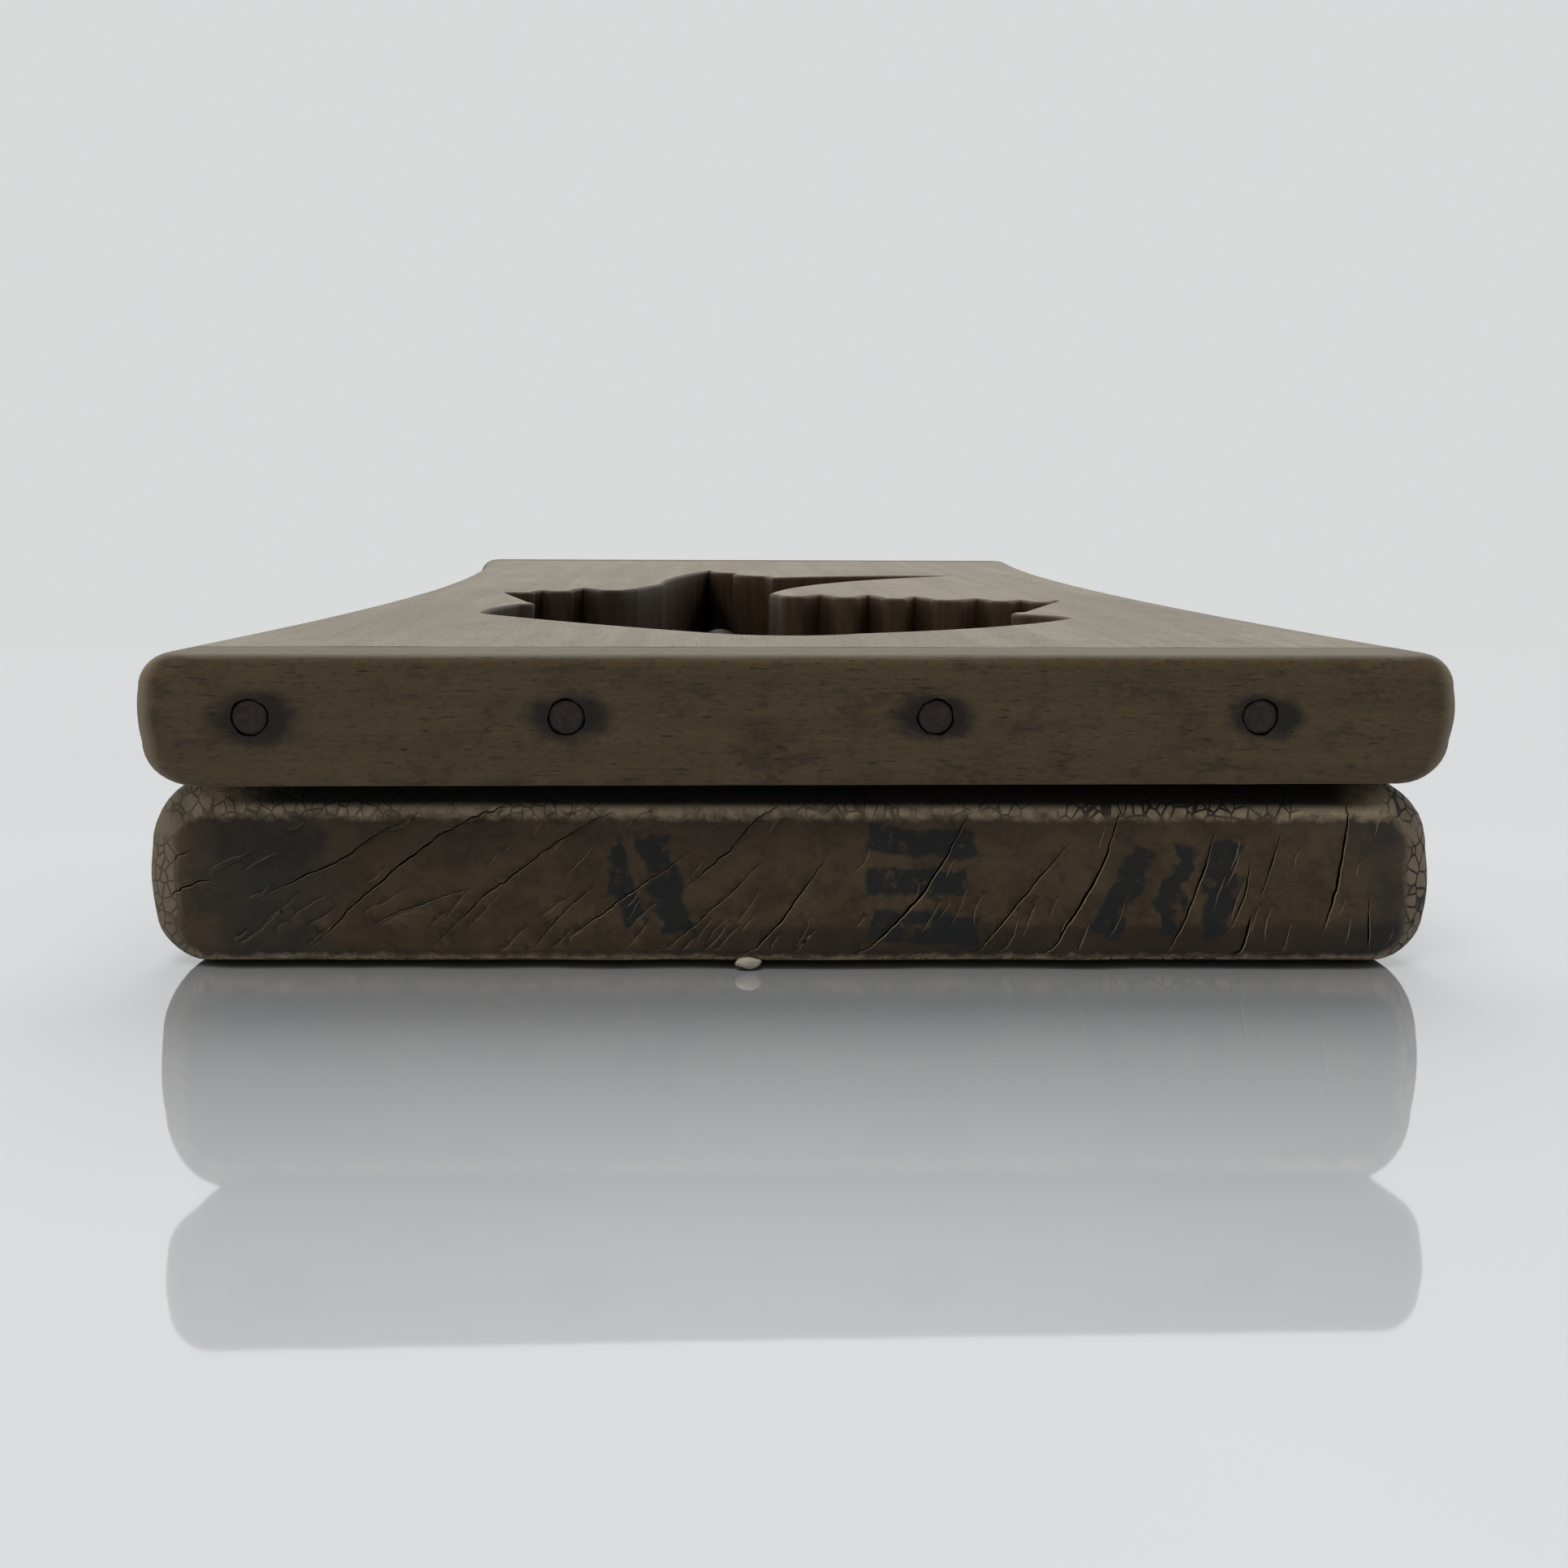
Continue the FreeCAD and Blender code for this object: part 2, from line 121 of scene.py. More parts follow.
class MouldSizes(bpy.types.PropertyGroup):
    """Sizes of the wear, the carving's edges and the fittings."""

    waist_left: length_prop("Left waist", "How far the left side is hollowed at its middle", 11)
    waist_right: length_prop("Right waist", "How far the right side is hollowed at its middle", 10)
    frame_corner: length_prop("Frame corner", "Round of the frame's corners, seen from the end", 4.6)
    frame_foot_corner: length_prop("Frame foot corner", "Round of the frame's lower corners", 5.6)
    frame_plan: length_prop("Frame plan corner", "Round of the frame's corners, seen from above", 5.5)
    frame_arris: length_prop("Frame arris", "Worn round of the frame's top end edges", 1.5)
    frame_foot_arris: length_prop("Frame foot arris", "Worn round of the frame's lower end edges", 0.3)
    block_corner: length_prop("Block corner", "Round of the block's upper corners, from the end", 9)
    block_foot_corner: length_prop("Block foot corner", "Round of the block's lower corners", 6.5)
    block_plan: length_prop("Block plan corner", "Round of the block's corners, from above", 7)
    block_arris: length_prop("Block arris", "Depth of the wear on the block's top end edges", 5)
    block_reach: length_prop("Block wear", "How far in that wear reaches from the block's ends", 10)
    block_foot_arris: length_prop("Block foot arris", "Worn round of the block's lower end edges", 3.0)
    block_skew: length_prop("Block skew", "How much further back the left of the block's end lies", 5)
    seam: length_prop("Cleat seam", "Gap between a cleat and the board", 0.42)
    block_swell: length_prop("Block swell", "How much wider the block's front left is left", 2.8)
    hole_arris: length_prop("Cut-out arris", "Worn round of the cut-out's top edge", 0.7)
    spacing: length_prop("Mesh spacing", "Distance between points across a board", 1.6)


class MouldColours(bpy.types.PropertyGroup):
    """Colours of the wood, iron, ink and bamboo."""

    board: colour_prop("Board", "Weathered grey-brown of the frame's top", "#7c7466")
    cleat: colour_prop("Cleat", "Brown of the cleats' long grain", "#55462f")
    cleat_dark: colour_prop("Cleat stain", "Dark blotches soaked into the cleats", "#2c2219")
    # Darker copies of the wall colour also paint shade in the cut-out and in the carved recess.
    wall: colour_prop("Cut wall", "Brown of the walls that the paste has oiled", "#4e3e2d")
    block: colour_prop("Block face", "Smoked brown of the block's end grain", "#524330")
    # Besides grime, darker copies of this colour paint the shadow under the frame's overhang and the shade
    # along the block's lowest edge.
    block_grime_and_shade: colour_prop("Block grime", "Grime along the foot of the block's end", "#32291f")
    arris: colour_prop("Worn arris", "Pale wood where hands have rubbed the edges", "#b8a487")
    # The lip colour is partly pale broken wood and partly a painted highlight, where a check's edge catches
    # the light.
    lip: colour_prop("Check lip", "Pale broken edge of a drying check", "#a8987e")
    # The check core colour is painted shade down the checks.
    dark: colour_prop("Check core", "Darkness down a drying check", "#0b0806")
    iron: colour_prop("Iron", "Brown-black rust of the nail heads", "#3b312d")
    tannin: colour_prop("Iron stain", "Blue-black stain of iron in wood", "#171413")
    ink: colour_prop("Ink", "Worn brushed ink", "#202325")
    bamboo: colour_prop("Bamboo", "Whittled bamboo of the pegs", "#9c8258")
    paste: colour_prop("Dried paste", "Specks of dried sugar paste", "#c9c2b0")
    table: colour_prop("Table", "Pale laminate of the table", "#c5c7c9")


# Small tools


def settings():
    """The scene's sizes and colours."""
    return bpy.context.scene.mould_sizes, bpy.context.scene.mould_colours


class Wire:
    """A value on its way through a node tree; arithmetic on it adds the Math nodes for it."""

    def __init__(self, tree, source):
        self.tree = tree
        self.source = source

    def math(self, operation, a, b=0.0):
        return Wire(self.tree, add(self.tree, "ShaderNodeMath", {0: a, 1: b}, operation=operation))

    def __add__(self, other):
        return self.math("ADD", self, other)

    def __sub__(self, other):
        return self.math("SUBTRACT", self, other)

    def __rsub__(self, other):
        return self.math("SUBTRACT", other, self)

    def __mul__(self, other):
        return self.math("MULTIPLY", self, other)

    def __pow__(self, other):
        return self.math("POWER", self, other)

    def __abs__(self):
        return self.math("ABSOLUTE", self)

    def most(self, other):
        return self.math("MAXIMUM", self, other)


def add(tree, kind, feeds=None, **options):
    """Adds a node to a tree. feeds gives each input a value, or the node, socket or wire that leads to it."""
    node = tree.nodes.new(kind)
    for name, value in options.items():
        setattr(node, name, value)
    for key, value in (feeds or {}).items():
        if isinstance(value, Wire):
            value = value.source
        if isinstance(value, bpy.types.Node):
            value = value.outputs[0]
        if isinstance(value, bpy.types.NodeSocket):
            tree.links.new(value, node.inputs[key])
        else:
            node.inputs[key].default_value = value
    return node


def new_object(name, mesh):
    """An object at the origin that holds a mesh."""
    obj = bpy.data.objects.new(name, mesh)
    bpy.context.scene.collection.objects.link(obj)
    return obj


def mesh_object(name, points, faces):
    """A mesh object from points and faces, with doubles merged and faces pointing outwards."""
    mesh = bpy.data.meshes.new(name)
    mesh.from_pydata([tuple(p) for p in points], [], faces)
    shape = bmesh.new()
    shape.from_mesh(mesh)
    bmesh.ops.remove_doubles(shape, verts=shape.verts, dist=WELD)
    bmesh.ops.recalc_face_normals(shape, faces=shape.faces)
    shape.to_mesh(mesh)
    shape.free()
    return new_object(name, mesh)


def bake_modifiers(obj):
    """Replaces an object's mesh by what its modifiers make of it."""
    depsgraph = bpy.context.evaluated_depsgraph_get()
    mesh = bpy.data.meshes.new_from_object(obj.evaluated_get(depsgraph), depsgraph=depsgraph)
    obj.modifiers.clear()
    obj.data = mesh


def combine(obj, tool, operation):
    """Joins a tool to an object or cuts it away, and removes the tool."""
    step = obj.modifiers.new("combine", "BOOLEAN")
    step.operation = operation
    step.solver = "MANIFOLD"
    step.object = tool
    before = len(obj.data.polygons)
    bake_modifiers(obj)
    bpy.data.objects.remove(tool)
    if len(obj.data.polygons) < before / 4:
        raise RuntimeError(f"{obj.name} was lost when it was combined with a tool")


def smooth(obj, degrees=32):
    """Shades an object smooth, but for its edges sharper than an angle."""
    obj.data.polygons.foreach_set("use_smooth", [True] * len(obj.data.polygons))
    obj.data.set_sharp_from_angle(angle=math.radians(degrees))


def wear(obj, amount, size, seed):
    """Moves a mesh's points in and out along their normals by soft noise, less on its level faces."""
    mesh = obj.data
    offset = Vector((seed * 7.1, seed * 3.7, seed * 5.3))
    for vertex, normal in zip(mesh.vertices, mesh.vertex_normals):
        place = vertex.co / size + offset
        push = noise.fractal(place, 0.9, 2.1, 2) * amount
        push *= 1 - abs(normal.vector.z) ** 6
        vertex.co += normal.vector * push


def carried(obj, body, slot, *nodes):
    """Declares a finished piece: its body and the nodes that it stands for. Its slot is not used."""
    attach(obj, body)
    if nodes:
        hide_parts(*nodes)


# The boards' worn shapes


def quarter(distance, radius):
    """How far a rounded edge lies inside its corner, at a distance from the end."""
    if distance >= radius:
        return 0.0
    return radius - math.sqrt(radius**2 - (radius - distance) ** 2)


def worn(distance, end, edge):
    """How far an end's top or foot is worn away, at a distance from the end: a quarter of an ellipse."""
    return quarter(distance, end["reach"]) * end[edge] / end["reach"]


def arc(cx, cz, rx, rz, start, steps):
    """Points along a quarter of an ellipse that starts at an angle in degrees, its last point left out."""
    turns = [math.radians(start + 90 * k / steps) for k in range(steps)]
    return [(cx + rx * math.cos(a), cz + rz * math.sin(a)) for a in turns]


def line(x0, z0, x1, z1, steps, bulge=0.0):
    """Points along a straight or slightly bowed run, its last point left out."""
    points = []
    for k in range(steps):
        t = k / steps
        bow = bulge * 4 * t * (1 - t)
        points.append((x0 + (x1 - x0) * t + bow, z0 + (z1 - z0) * t))
    return points


def outline(left, right, low, high, top, foot, counts, bulge):
    """A board's outline seen from its end: flat top and foot, round corners, and slightly bowed sides."""
    across, corner, side = counts
    room = min((right - left) / 2, (high - low) / 2)
    top = min(top, room)
    foot = min(foot, room)
    return (
        line(left + foot, low, right - foot, low, across)
        + arc(right - foot, low + foot, foot, foot, -90, corner)
        + line(right, low + foot, right, high - top, side, bulge)
        + arc(right - top, high - top, top, top, 0, corner)
        + line(right - top, high, left + top, high, across)
        + arc(left + top, high - top, top, top, 90, corner)
        + line(left, high - top, left, low + foot, side, -bulge)
        + arc(left + foot, low + foot, foot, foot, 180, corner)
    )


def end_distances(radius, steps=12):
    """Distances from an end that follow its rounded edge closely."""
    return [radius * (1 - math.cos(math.pi / 2 * k / steps)) for k in range(steps + 1)]


class Board:
    """A waisted board between two ends, as rings of points that run along Y.

    Each end is a dict: the round of its corners in plan, how far in its wear reaches, and how deep that wear
    is at its top and its foot. skew sets the front's left side back, swell widens it, and bulge bows both
    sides.
    """

    def __init__(self, box, half_width, corners, front, rear, skew=0.0, swell=0.0, bulge=0.0):
        self.low_y, self.high_y = box[0]
        self.low_z, self.high_z = box[1]
        self.half_width = half_width
        self.corners = corners
        self.front = front
        self.rear = rear
        self.skew = skew
        self.swell = swell
        self.bulge = bulge
        sizes, _ = settings()
        self.counts = (int(2 * half_width / sizes.spacing), 9, 8)
        self.step = 5 * MM

    def ring(self, y, inset=0.0):
        """The ring of points at a place along the board, drawn in for its end's rounds and an inset."""
        sizes, _ = settings()
        share = 1 - (y / HALF_LENGTH) ** 2
        near_front = y - self.low_y
        near_rear = self.high_y - y
        plan = quarter(near_front, self.front["plan"]) + quarter(near_rear, self.rear["plan"])
        top = worn(near_front, self.front, "top") + worn(near_rear, self.rear, "top")
        foot = worn(near_front, self.front, "foot") + worn(near_rear, self.rear, "foot")
        fade = max(0.0, 1 - near_front / (90 * MM))
        points = outline(
            -self.half_width + sizes.waist_left * share - self.swell * fade + plan + inset,
            self.half_width - sizes.waist_right * share - plan - inset,
            self.low_z + foot + inset,
            self.high_z - top - inset,
            max(self.corners[0] - inset, 0),
            max(self.corners[1] - inset, 0),
            self.counts,
            self.bulge if inset == 0 else 0.0,
        )
        fade = max(0.0, 1 - near_front / (40 * MM))
        lean = self.skew * fade * fade
        return [(x, y + lean * (0.5 - x / self.half_width / 2), z) for x, z in points]

    def build(self, name):
        """The board as a closed mesh."""
        front_radius = max(self.front.values())
        rear_radius = max(self.rear.values())
        near = [self.low_y + d for d in end_distances(front_radius)]
        far = [self.high_y - d for d in reversed(end_distances(rear_radius))]
        count = max(2, int((far[0] - near[-1]) / self.step))
        run = [near[-1] + (far[0] - near[-1]) * k / count for k in range(1, count)]
        rings = [self.ring(y) for y in near + run + far]
        front_cap = self.cap(self.low_y, self.front)
        rear_cap = self.cap(self.high_y, self.rear)
        rings = front_cap[::-1] + rings + rear_cap
        n = len(rings[0])
        points = [p for ring in rings for p in ring]
        faces = []
        for r in range(len(rings) - 1):
            for k in range(n):
                after = (k + 1) % n
                faces.append((r * n + k, r * n + after, (r + 1) * n + after, (r + 1) * n + k))
        return mesh_object(name, points, faces)

    def cap(self, y, end):
        """Rings that close an end, from just inside its edge to the line along its middle."""
        half = (self.high_z - self.low_z - end["top"] - end["foot"]) / 2
        count = max(3, int(half / (1.3 * MM)))
        return [self.ring(y, half * k / count) for k in range(1, count + 1)]


def plane_loop(node, height, reach):
    """The longest closed loop of a node's edges round a hole in a level face, as points in order."""
    shape = bmesh.new()
    shape.from_mesh(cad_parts[node].data)
    bmesh.ops.remove_doubles(shape, verts=shape.verts, dist=0.001 * MM)
    links = {}
    for edge in shape.edges:
        level = all(abs(v.co.z - height) < 0.002 * MM and abs(v.co.x) < reach for v in edge.verts)
        flat = [abs(f.normal.z) > 0.999 for f in edge.link_faces]
        if level and sorted(flat) == [False, True]:
            a, b = edge.verts
            links.setdefault(a, []).append(b)
            links.setdefault(b, []).append(a)
    best = []
    seen = set()
    for start in links:
        if start in seen:
            continue
        chain = [start]
        seen.add(start)
        while True:
            step = next((v for v in links[chain[-1]] if v not in seen), None)
            if step is None:
                break
            chain.append(step)
            seen.add(step)
        if start in links[chain[-1]] and len(chain) > len(best):
            best = chain
    loop = np.array([v.co for v in best])[:, :2]
    shape.free()
    return loop


def resampled(loop, spacing):
    """A closed loop's points, evenly spaced, anticlockwise."""
    closed = np.vstack([loop, loop[:1]])
    lengths = np.concatenate([[0], np.cumsum(np.linalg.norm(np.diff(closed, axis=0), axis=1))])
    count = int(lengths[-1] / spacing)
    places = np.arange(count) * lengths[-1] / count
    even = np.stack([np.interp(places, lengths, closed[:, axis]) for axis in (0, 1)], axis=1)
    x, y = even.T
    area = np.sum(x * np.roll(y, -1) - y * np.roll(x, -1))
    return even if area > 0 else even[::-1]


def outward(loop, span=2):
    """The loop's outward normals, softened over a span of points."""
    ahead = np.roll(loop, -span, axis=0) - np.roll(loop, span, axis=0)
    normals = np.stack([ahead[:, 1], -ahead[:, 0]], axis=1)
    return normals / np.maximum(np.linalg.norm(normals, axis=1, keepdims=True), 1e-9)


# The figure's outline: how far from the middle it is looked for, its points' spacing and its gouged flutes
FIGURE_REACH = 65 * MM
LOOP_SPACING = 0.7 * MM
FLUTE_LENGTH = 2.6 * MM
FLUTE_DEPTH = 0.35 * MM


def tube(rings, base=0):
    """Points and faces of a tube through rings of points, closed at both ends; base counts from there."""
    n = len(rings[0])
    last = base + (len(rings) - 1) * n
    faces = [tuple(range(base, base + n)), tuple(reversed(range(last, last + n)))]
    for start in range(base, last, n):
        for k in range(n):
            a, b = start + k, start + (k + 1) % n
            faces.append((a, a + n, b + n, b))
    return [p for ring in rings for p in ring], faces


def cutout_tool():
    """What is cut from the frame board: the pierced figure, gouged in flutes, with a worn top edge."""
    sizes, _ = settings()
    top_loop = plane_loop("frame_board", FRAME_TOP, FIGURE_REACH)
    foot_loop = plane_loop("frame_board", FRAME_FOOT, FIGURE_REACH)
    low, high = top_loop.min(0), top_loop.max(0)
    spread = (foot_loop.max(0) - foot_loop.min(0)) / (high - low)
    heart = (foot_loop.min(0) - low * spread) / (1 - spread)
    loop = resampled(top_loop, LOOP_SPACING)
    normals = outward(loop)
    flutes = np.array([noise.noise(Vector((x, y, 0)) / FLUTE_LENGTH) for x, y in loop])
    arris = sizes.hole_arris
    levels = [(FRAME_TOP + MM, arris * 1.8), (FRAME_TOP, arris)]
    levels += [(FRAME_TOP - arris * s, arris * (1 - math.sqrt(1 - (1 - s) ** 2))) for s in (0.25, 0.55, 1)]
    levels += [(FRAME_TOP - z * MM, 0.0) for z in (3, 6, 9, 12, 15)]
    levels += [(FRAME_FOOT + 0.4 * MM, 0.0), (FRAME_FOOT, 0.3 * MM), (FRAME_FOOT - MM, 0.6 * MM)]
    rings = []
    for z, flare in levels:
        share = (FRAME_TOP - z) / (FRAME_TOP - FRAME_FOOT)
        size = 1 + (spread - 1) * share
        depth = min(max(share, 0.05), 1) ** 0.5
        push = flare + flutes * FLUTE_DEPTH * depth
        ring = heart + (loop - heart) * size + normals * push[:, None]
        rings.append([(x, y, z) for x, y in ring])
    return mesh_object("cutout_tool", *tube(rings))


def rod_tool(places, radius, steps=40):
    """Slightly uneven round rods, each given by its two ends, as one mesh."""
    points = []
    faces = []
    for start, end in places:
        start, end = Vector(start), Vector(end)
        axis = (end - start).normalized()
        side = axis.orthogonal().normalized()
        other = axis.cross(side)
        base = len(points)
        round_ring = []
        for k in range(steps):
            turn = 2 * math.pi * k / steps
            rough = radius * (1 + 0.03 * math.sin(3 * turn + base) + 0.02 * math.sin(7 * turn))
            round_ring.append((side * math.cos(turn), other * math.sin(turn), rough))
        rings = [[place + a * rough + b * rough for a, b, rough in round_ring] for place in (start, end)]
        rod_points, rod_faces = tube(rings, base)
        points += rod_points
        faces += rod_faces
    return mesh_object("rod_tool", points, faces)


def box_tool(low, high):
    """A plain box, as a tool for cutting."""
    corners = [(x, y, z) for x in (low[0], high[0]) for y in (low[1], high[1]) for z in (low[2], high[2])]
    faces = [(0, 1, 3, 2), (4, 6, 7, 5), (0, 4, 5, 1), (2, 3, 7, 6), (0, 2, 6, 4), (1, 5, 7, 3)]
    return mesh_object("box_tool", corners, faces)


def give(obj, *materials):
    """Sets an object's materials; the first is for all its faces."""
    obj.data.materials.clear()
    for material in materials:
        obj.data.materials.append(material)


# Drying checks on the block's front end, each (foot x, foot z, head x, head z, bow, breadth) in millimetres.
# They are few, long and dark; the fine checks between them are scattered.

CHECKS = [
    (-86.5, 9.7, -78.5, 12.4, 0.6, 0.62),
    (-86.5, 15.6, -81.0, 17.0, 0.2, 0.42),
    (-78.8, 13.2, -73.0, 17.0, -0.3, 0.36),
    (-75.5, 9.4, -53.0, 20.6, -0.7, 0.55),
    (-67.5, 1.6, -39.0, 24.5, 1.4, 0.6),
    (-58.0, 5.4, -44.0, 11.4, 0.9, 0.4),
    (-50.5, 2.8, -25.5, 22.0, 1.1, 0.5),
    (-37.5, 1.0, -28.3, 12.0, 0.8, 0.4),
    (-32.5, 4.4, -15.0, 16.4, 0.4, 0.52),
    (-16.5, 11.4, -3.6, 24.4, -0.8, 0.56),
    (-20.8, 1.2, -5.4, 16.0, -0.4, 0.42),
    (-9.3, 0.6, 3.0, 16.6, -0.9, 0.6),
    (5.6, 0.4, 22.0, 22.6, -1.8, 0.74),
    (22.4, 1.0, 35.6, 18.0, 0.4, 0.55),
    (31.4, 0.8, 42.2, 24.0, -1.6, 0.78),
    (48.4, 1.2, 54.8, 19.6, -0.6, 0.6),
    (57.6, 0.2, 60.0, 7.8, -0.6, 0.85),
    (57.0, 5.2, 59.4, 15.6, -0.7, 0.5),
    (60.8, 9.8, 63.6, 19.0, -0.2, 0.48),
    (69.8, 5.6, 72.2, 25.0, -0.9, 0.8),
    (76.6, 2.2, 75.6, 10.0, 0.2, 0.55),
]
FINE_CHECKS = 84
CHECK_SEED = 5


def check_direction(x):
    """The way that the checks run at a place across the block: they fan from slanting to nearly upright."""
    share = (x / MM + 86) / 172
    return math.radians(30 + 54 * share)


def path_mesh(name, runs, kept_as):
    """Wire paths, each a run of (point, value) pairs, with the values kept on the points as an attribute."""
    points = []
    edges = []
    for run in runs:
        first = len(points)
        points += [place for place, _ in run]
        edges += [(k - 1, k) for k in range(first + 1, len(points))]
    mesh = bpy.data.meshes.new(name)
    mesh.from_pydata(points, edges, [])
    kept = mesh.attributes.new(kept_as, "FLOAT", "POINT")
    kept.data.foreach_set("value", [value for run in runs for _, value in run])
    return new_object(name, mesh)


def check_runs(checks, y, steps=6):
    """The checks as bent runs of (point, breadth) pairs at a depth, in metres."""
    runs = []
    for x0, z0, x1, z1, bow, breadth in checks:
        run = Vector((x1 - x0, 0, z1 - z0))
        aside = Vector((-run.z, 0, run.x)).normalized()
        rows = []
        for k in range(steps + 1):
            t = k / steps
            place = Vector((x0, 0, z0)) + run * t + aside * bow * 4 * t * (1 - t)
            rows.append(((place.x * MM, y, place.z * MM), breadth * MM))
        runs.append(rows)
    return runs


def fine_checks():
    """Hairline checks between the main ones, scattered with a fixed seed."""
    draw = random.Random(CHECK_SEED)
    rows = []
    for _ in range(FINE_CHECKS):
        x = draw.uniform(-80, 80)
        z = draw.choice((draw.uniform(1.5, 8), draw.uniform(4, 21)))
        reach = draw.uniform(2, 6.5)
        turn = check_direction(x * MM) + draw.uniform(-0.16, 0.16)
        rows.append(
            (
                x,
                z,
                x + reach * math.cos(turn),
                min(z + reach * math.sin(turn), 23.5),
                draw.uniform(-0.4, 0.4),
                draw.uniform(0.16, 0.3),
            )
        )
    return rows


def group_inputs(tree, rows):
    """Adds a geometry output, a geometry input and named inputs, each (name, kind, default), to a tree."""
    tree.interface.new_socket("Geometry", in_out="OUTPUT", socket_type="NodeSocketGeometry")
    for name, kind, default in (("Geometry", "Geometry", None), *rows):
        socket = tree.interface.new_socket(name, in_out="INPUT", socket_type=f"NodeSocket{kind}")
        if default is not None:
            socket.default_value = default
    return add(tree, "NodeGroupInput").outputs


def set_inputs(obj, tree, values):
    """Puts a tree on an object as a modifier and sets its inputs by their sockets' identifiers."""
    modifier = obj.modifiers.new(tree.name, "NODES")
    modifier.node_group = tree
    for item in tree.interface.items_tree:
        if item.item_type == "SOCKET" and item.in_out == "INPUT" and item.name in values:
            modifier[item.identifier] = values[item.name]


def close_tree(tree, geometry, material):
    """Ends a tree: makes its geometry real, gives it its material and puts it out."""
    real = add(tree, "GeometryNodeRealizeInstances", {"Geometry": geometry})
    dressed = add(tree, "GeometryNodeSetMaterial", {"Geometry": real, "Material": material})
    add(tree, "NodeGroupOutput", {"Geometry": dressed})
    return tree


def check_tree():
    """A tree that lays jagged tapering wedges along paths, drawn onto a surface and pointing into it."""
    tree = bpy.data.node_groups.new("check_wedges", "GeometryNodeTree")
    rows = (("Breadth", "Float", 1.0), ("Depth", "Float", 6.0), ("Jag", "Float", 0.35 * MM))
    given = group_inputs(tree, (("Surface", "Object", None), *rows, ("Material", "Material", None)))
    curve = add(tree, "GeometryNodeMeshToCurve", {"Mesh": given["Geometry"]})
    fine = add(tree, "GeometryNodeResampleCurve", {"Curve": curve, "Length": 0.55 * MM}, mode="LENGTH")
    # Each path wanders by two noises round their middle: a short one, and a long one 3.2 times as strong.
    shifts = []
    for scale, detail in ((0.9 / MM, 2.0), (0.16 / MM, 1.0)):
        texture = add(tree, "ShaderNodeTexNoise", {"Scale": scale, "Detail": detail})
        feeds = {0: texture.outputs["Color"], 1: (0.5, 0.5, 0.5)}
        shifts.append(add(tree, "ShaderNodeVectorMath", feeds, operation="SUBTRACT"))
    drift = add(tree, "ShaderNodeVectorMath", {0: shifts[1], "Scale": 3.2}, operation="SCALE")
    both = add(tree, "ShaderNodeVectorMath", {0: shifts[0], 1: drift}, operation="ADD")
    jag = Wire(tree, given["Jag"]) * 3.0
    shift = add(tree, "ShaderNodeVectorMath", {0: both, "Scale": jag}, operation="SCALE")
    jagged = add(tree, "GeometryNodeSetPosition", {"Geometry": fine, "Offset": shift})
    surface = add(tree, "GeometryNodeObjectInfo", {"Object": given["Surface"]}, transform_space="RELATIVE")
    near = add(tree, "GeometryNodeProximity", {0: surface.outputs["Geometry"]}, target_element="FACES")
    feeds = {"Geometry": jagged, "Position": near.outputs["Position"]}
    laid = add(tree, "GeometryNodeSetPosition", feeds)
    turned = add(tree, "GeometryNodeSetCurveNormal", {"Curve": laid, "Normal": (0, -1, 0)}, mode="FREE")
    # Its breadth is the row's own, thinned out to both ends and uneven on the way.
    breadth = add(tree, "GeometryNodeInputNamedAttribute", {"Name": "breadth"}, data_type="FLOAT")
    along = add(tree, "GeometryNodeSplineParameter").outputs["Factor"]
    taper = add(tree, "ShaderNodeFloatCurve", {"Value": along})
    shape = taper.mapping.curves[0]
    shape.points[0].location = (0.0, 0.05)
    shape.points[1].location = (1.0, 0.05)
    for place in ((0.12, 0.6), (0.45, 1.0), (0.85, 0.65)):
        shape.points.new(*place)
    taper.mapping.update()
    uneven = Wire(tree, add(tree, "ShaderNodeTexNoise", {"Scale": 0.55 / MM, "Detail": 1.0})) + 0.55
    size = Wire(tree, breadth.outputs["Attribute"]) * taper * uneven * given["Breadth"]
    # The wedge's section, in shares of the breadth: its open side stands out of the wood, its point is deep.
    point = add(tree, "ShaderNodeCombineXYZ", {"X": Wire(tree, given["Depth"]) * -1.0, "Y": 0.0})
    corners = {"Point 1": (0.9, -0.62, 0.0), "Point 2": (0.9, 0.62, 0.0), "Point 3": point, "Point 4": point}
    section = add(tree, "GeometryNodeCurvePrimitiveQuadrilateral", corners, mode="POINTS")
    feeds = {"Curve": turned, "Profile Curve": section, "Scale": size, "Fill Caps": True}
    wedge = add(tree, "GeometryNodeCurveToMesh", feeds)
    merged = add(tree, "GeometryNodeMergeByDistance", {"Geometry": wedge, "Distance": WELD})
    return close_tree(tree, merged, given["Material"])


def check_wedges(obj, checks, tree, breadth, depth, material):
    """Wedges to cut as checks into an object's front end, laid along its surface as it stands."""
    y = min(v.co.y for v in obj.data.vertices) - 1 * MM
    wedges = path_mesh("check_paths", check_runs(checks, y), "breadth")
    values = {"Surface": obj, "Breadth": breadth, "Depth": depth, "Jag": 0.085 * MM, "Material": material}
    set_inputs(wedges, tree, values)
    bake_modifiers(wedges)
    shape = bmesh.new()
    shape.from_mesh(wedges.data)
    bmesh.ops.recalc_face_normals(shape, faces=shape.faces)
    shape.to_mesh(wedges.data)
    shape.free()
    return wedges


# Turned pieces: nails and pegs, each a run of (distance, radius) along its axis, in millimetres

NAIL_RUN = (
    (0.0, 0.35),
    (0.02, 1.2),
    (0.08, 1.8),
    (0.18, 2.12),
    (0.4, 2.25),
    (0.9, 2.2),
    (1.05, 1.05),
    (15.0, 1.05),
    (29.0, 1.02),
    (30.5, 0.7),
    (31.9, 0.2),
)
PEG_RUN = ((0.0, 2.9), (1.0, 3.0), (12.0, 3.0), (16.6, 2.9), (18.0, 2.5), (18.7, 2.0), (19.0, 1.2))


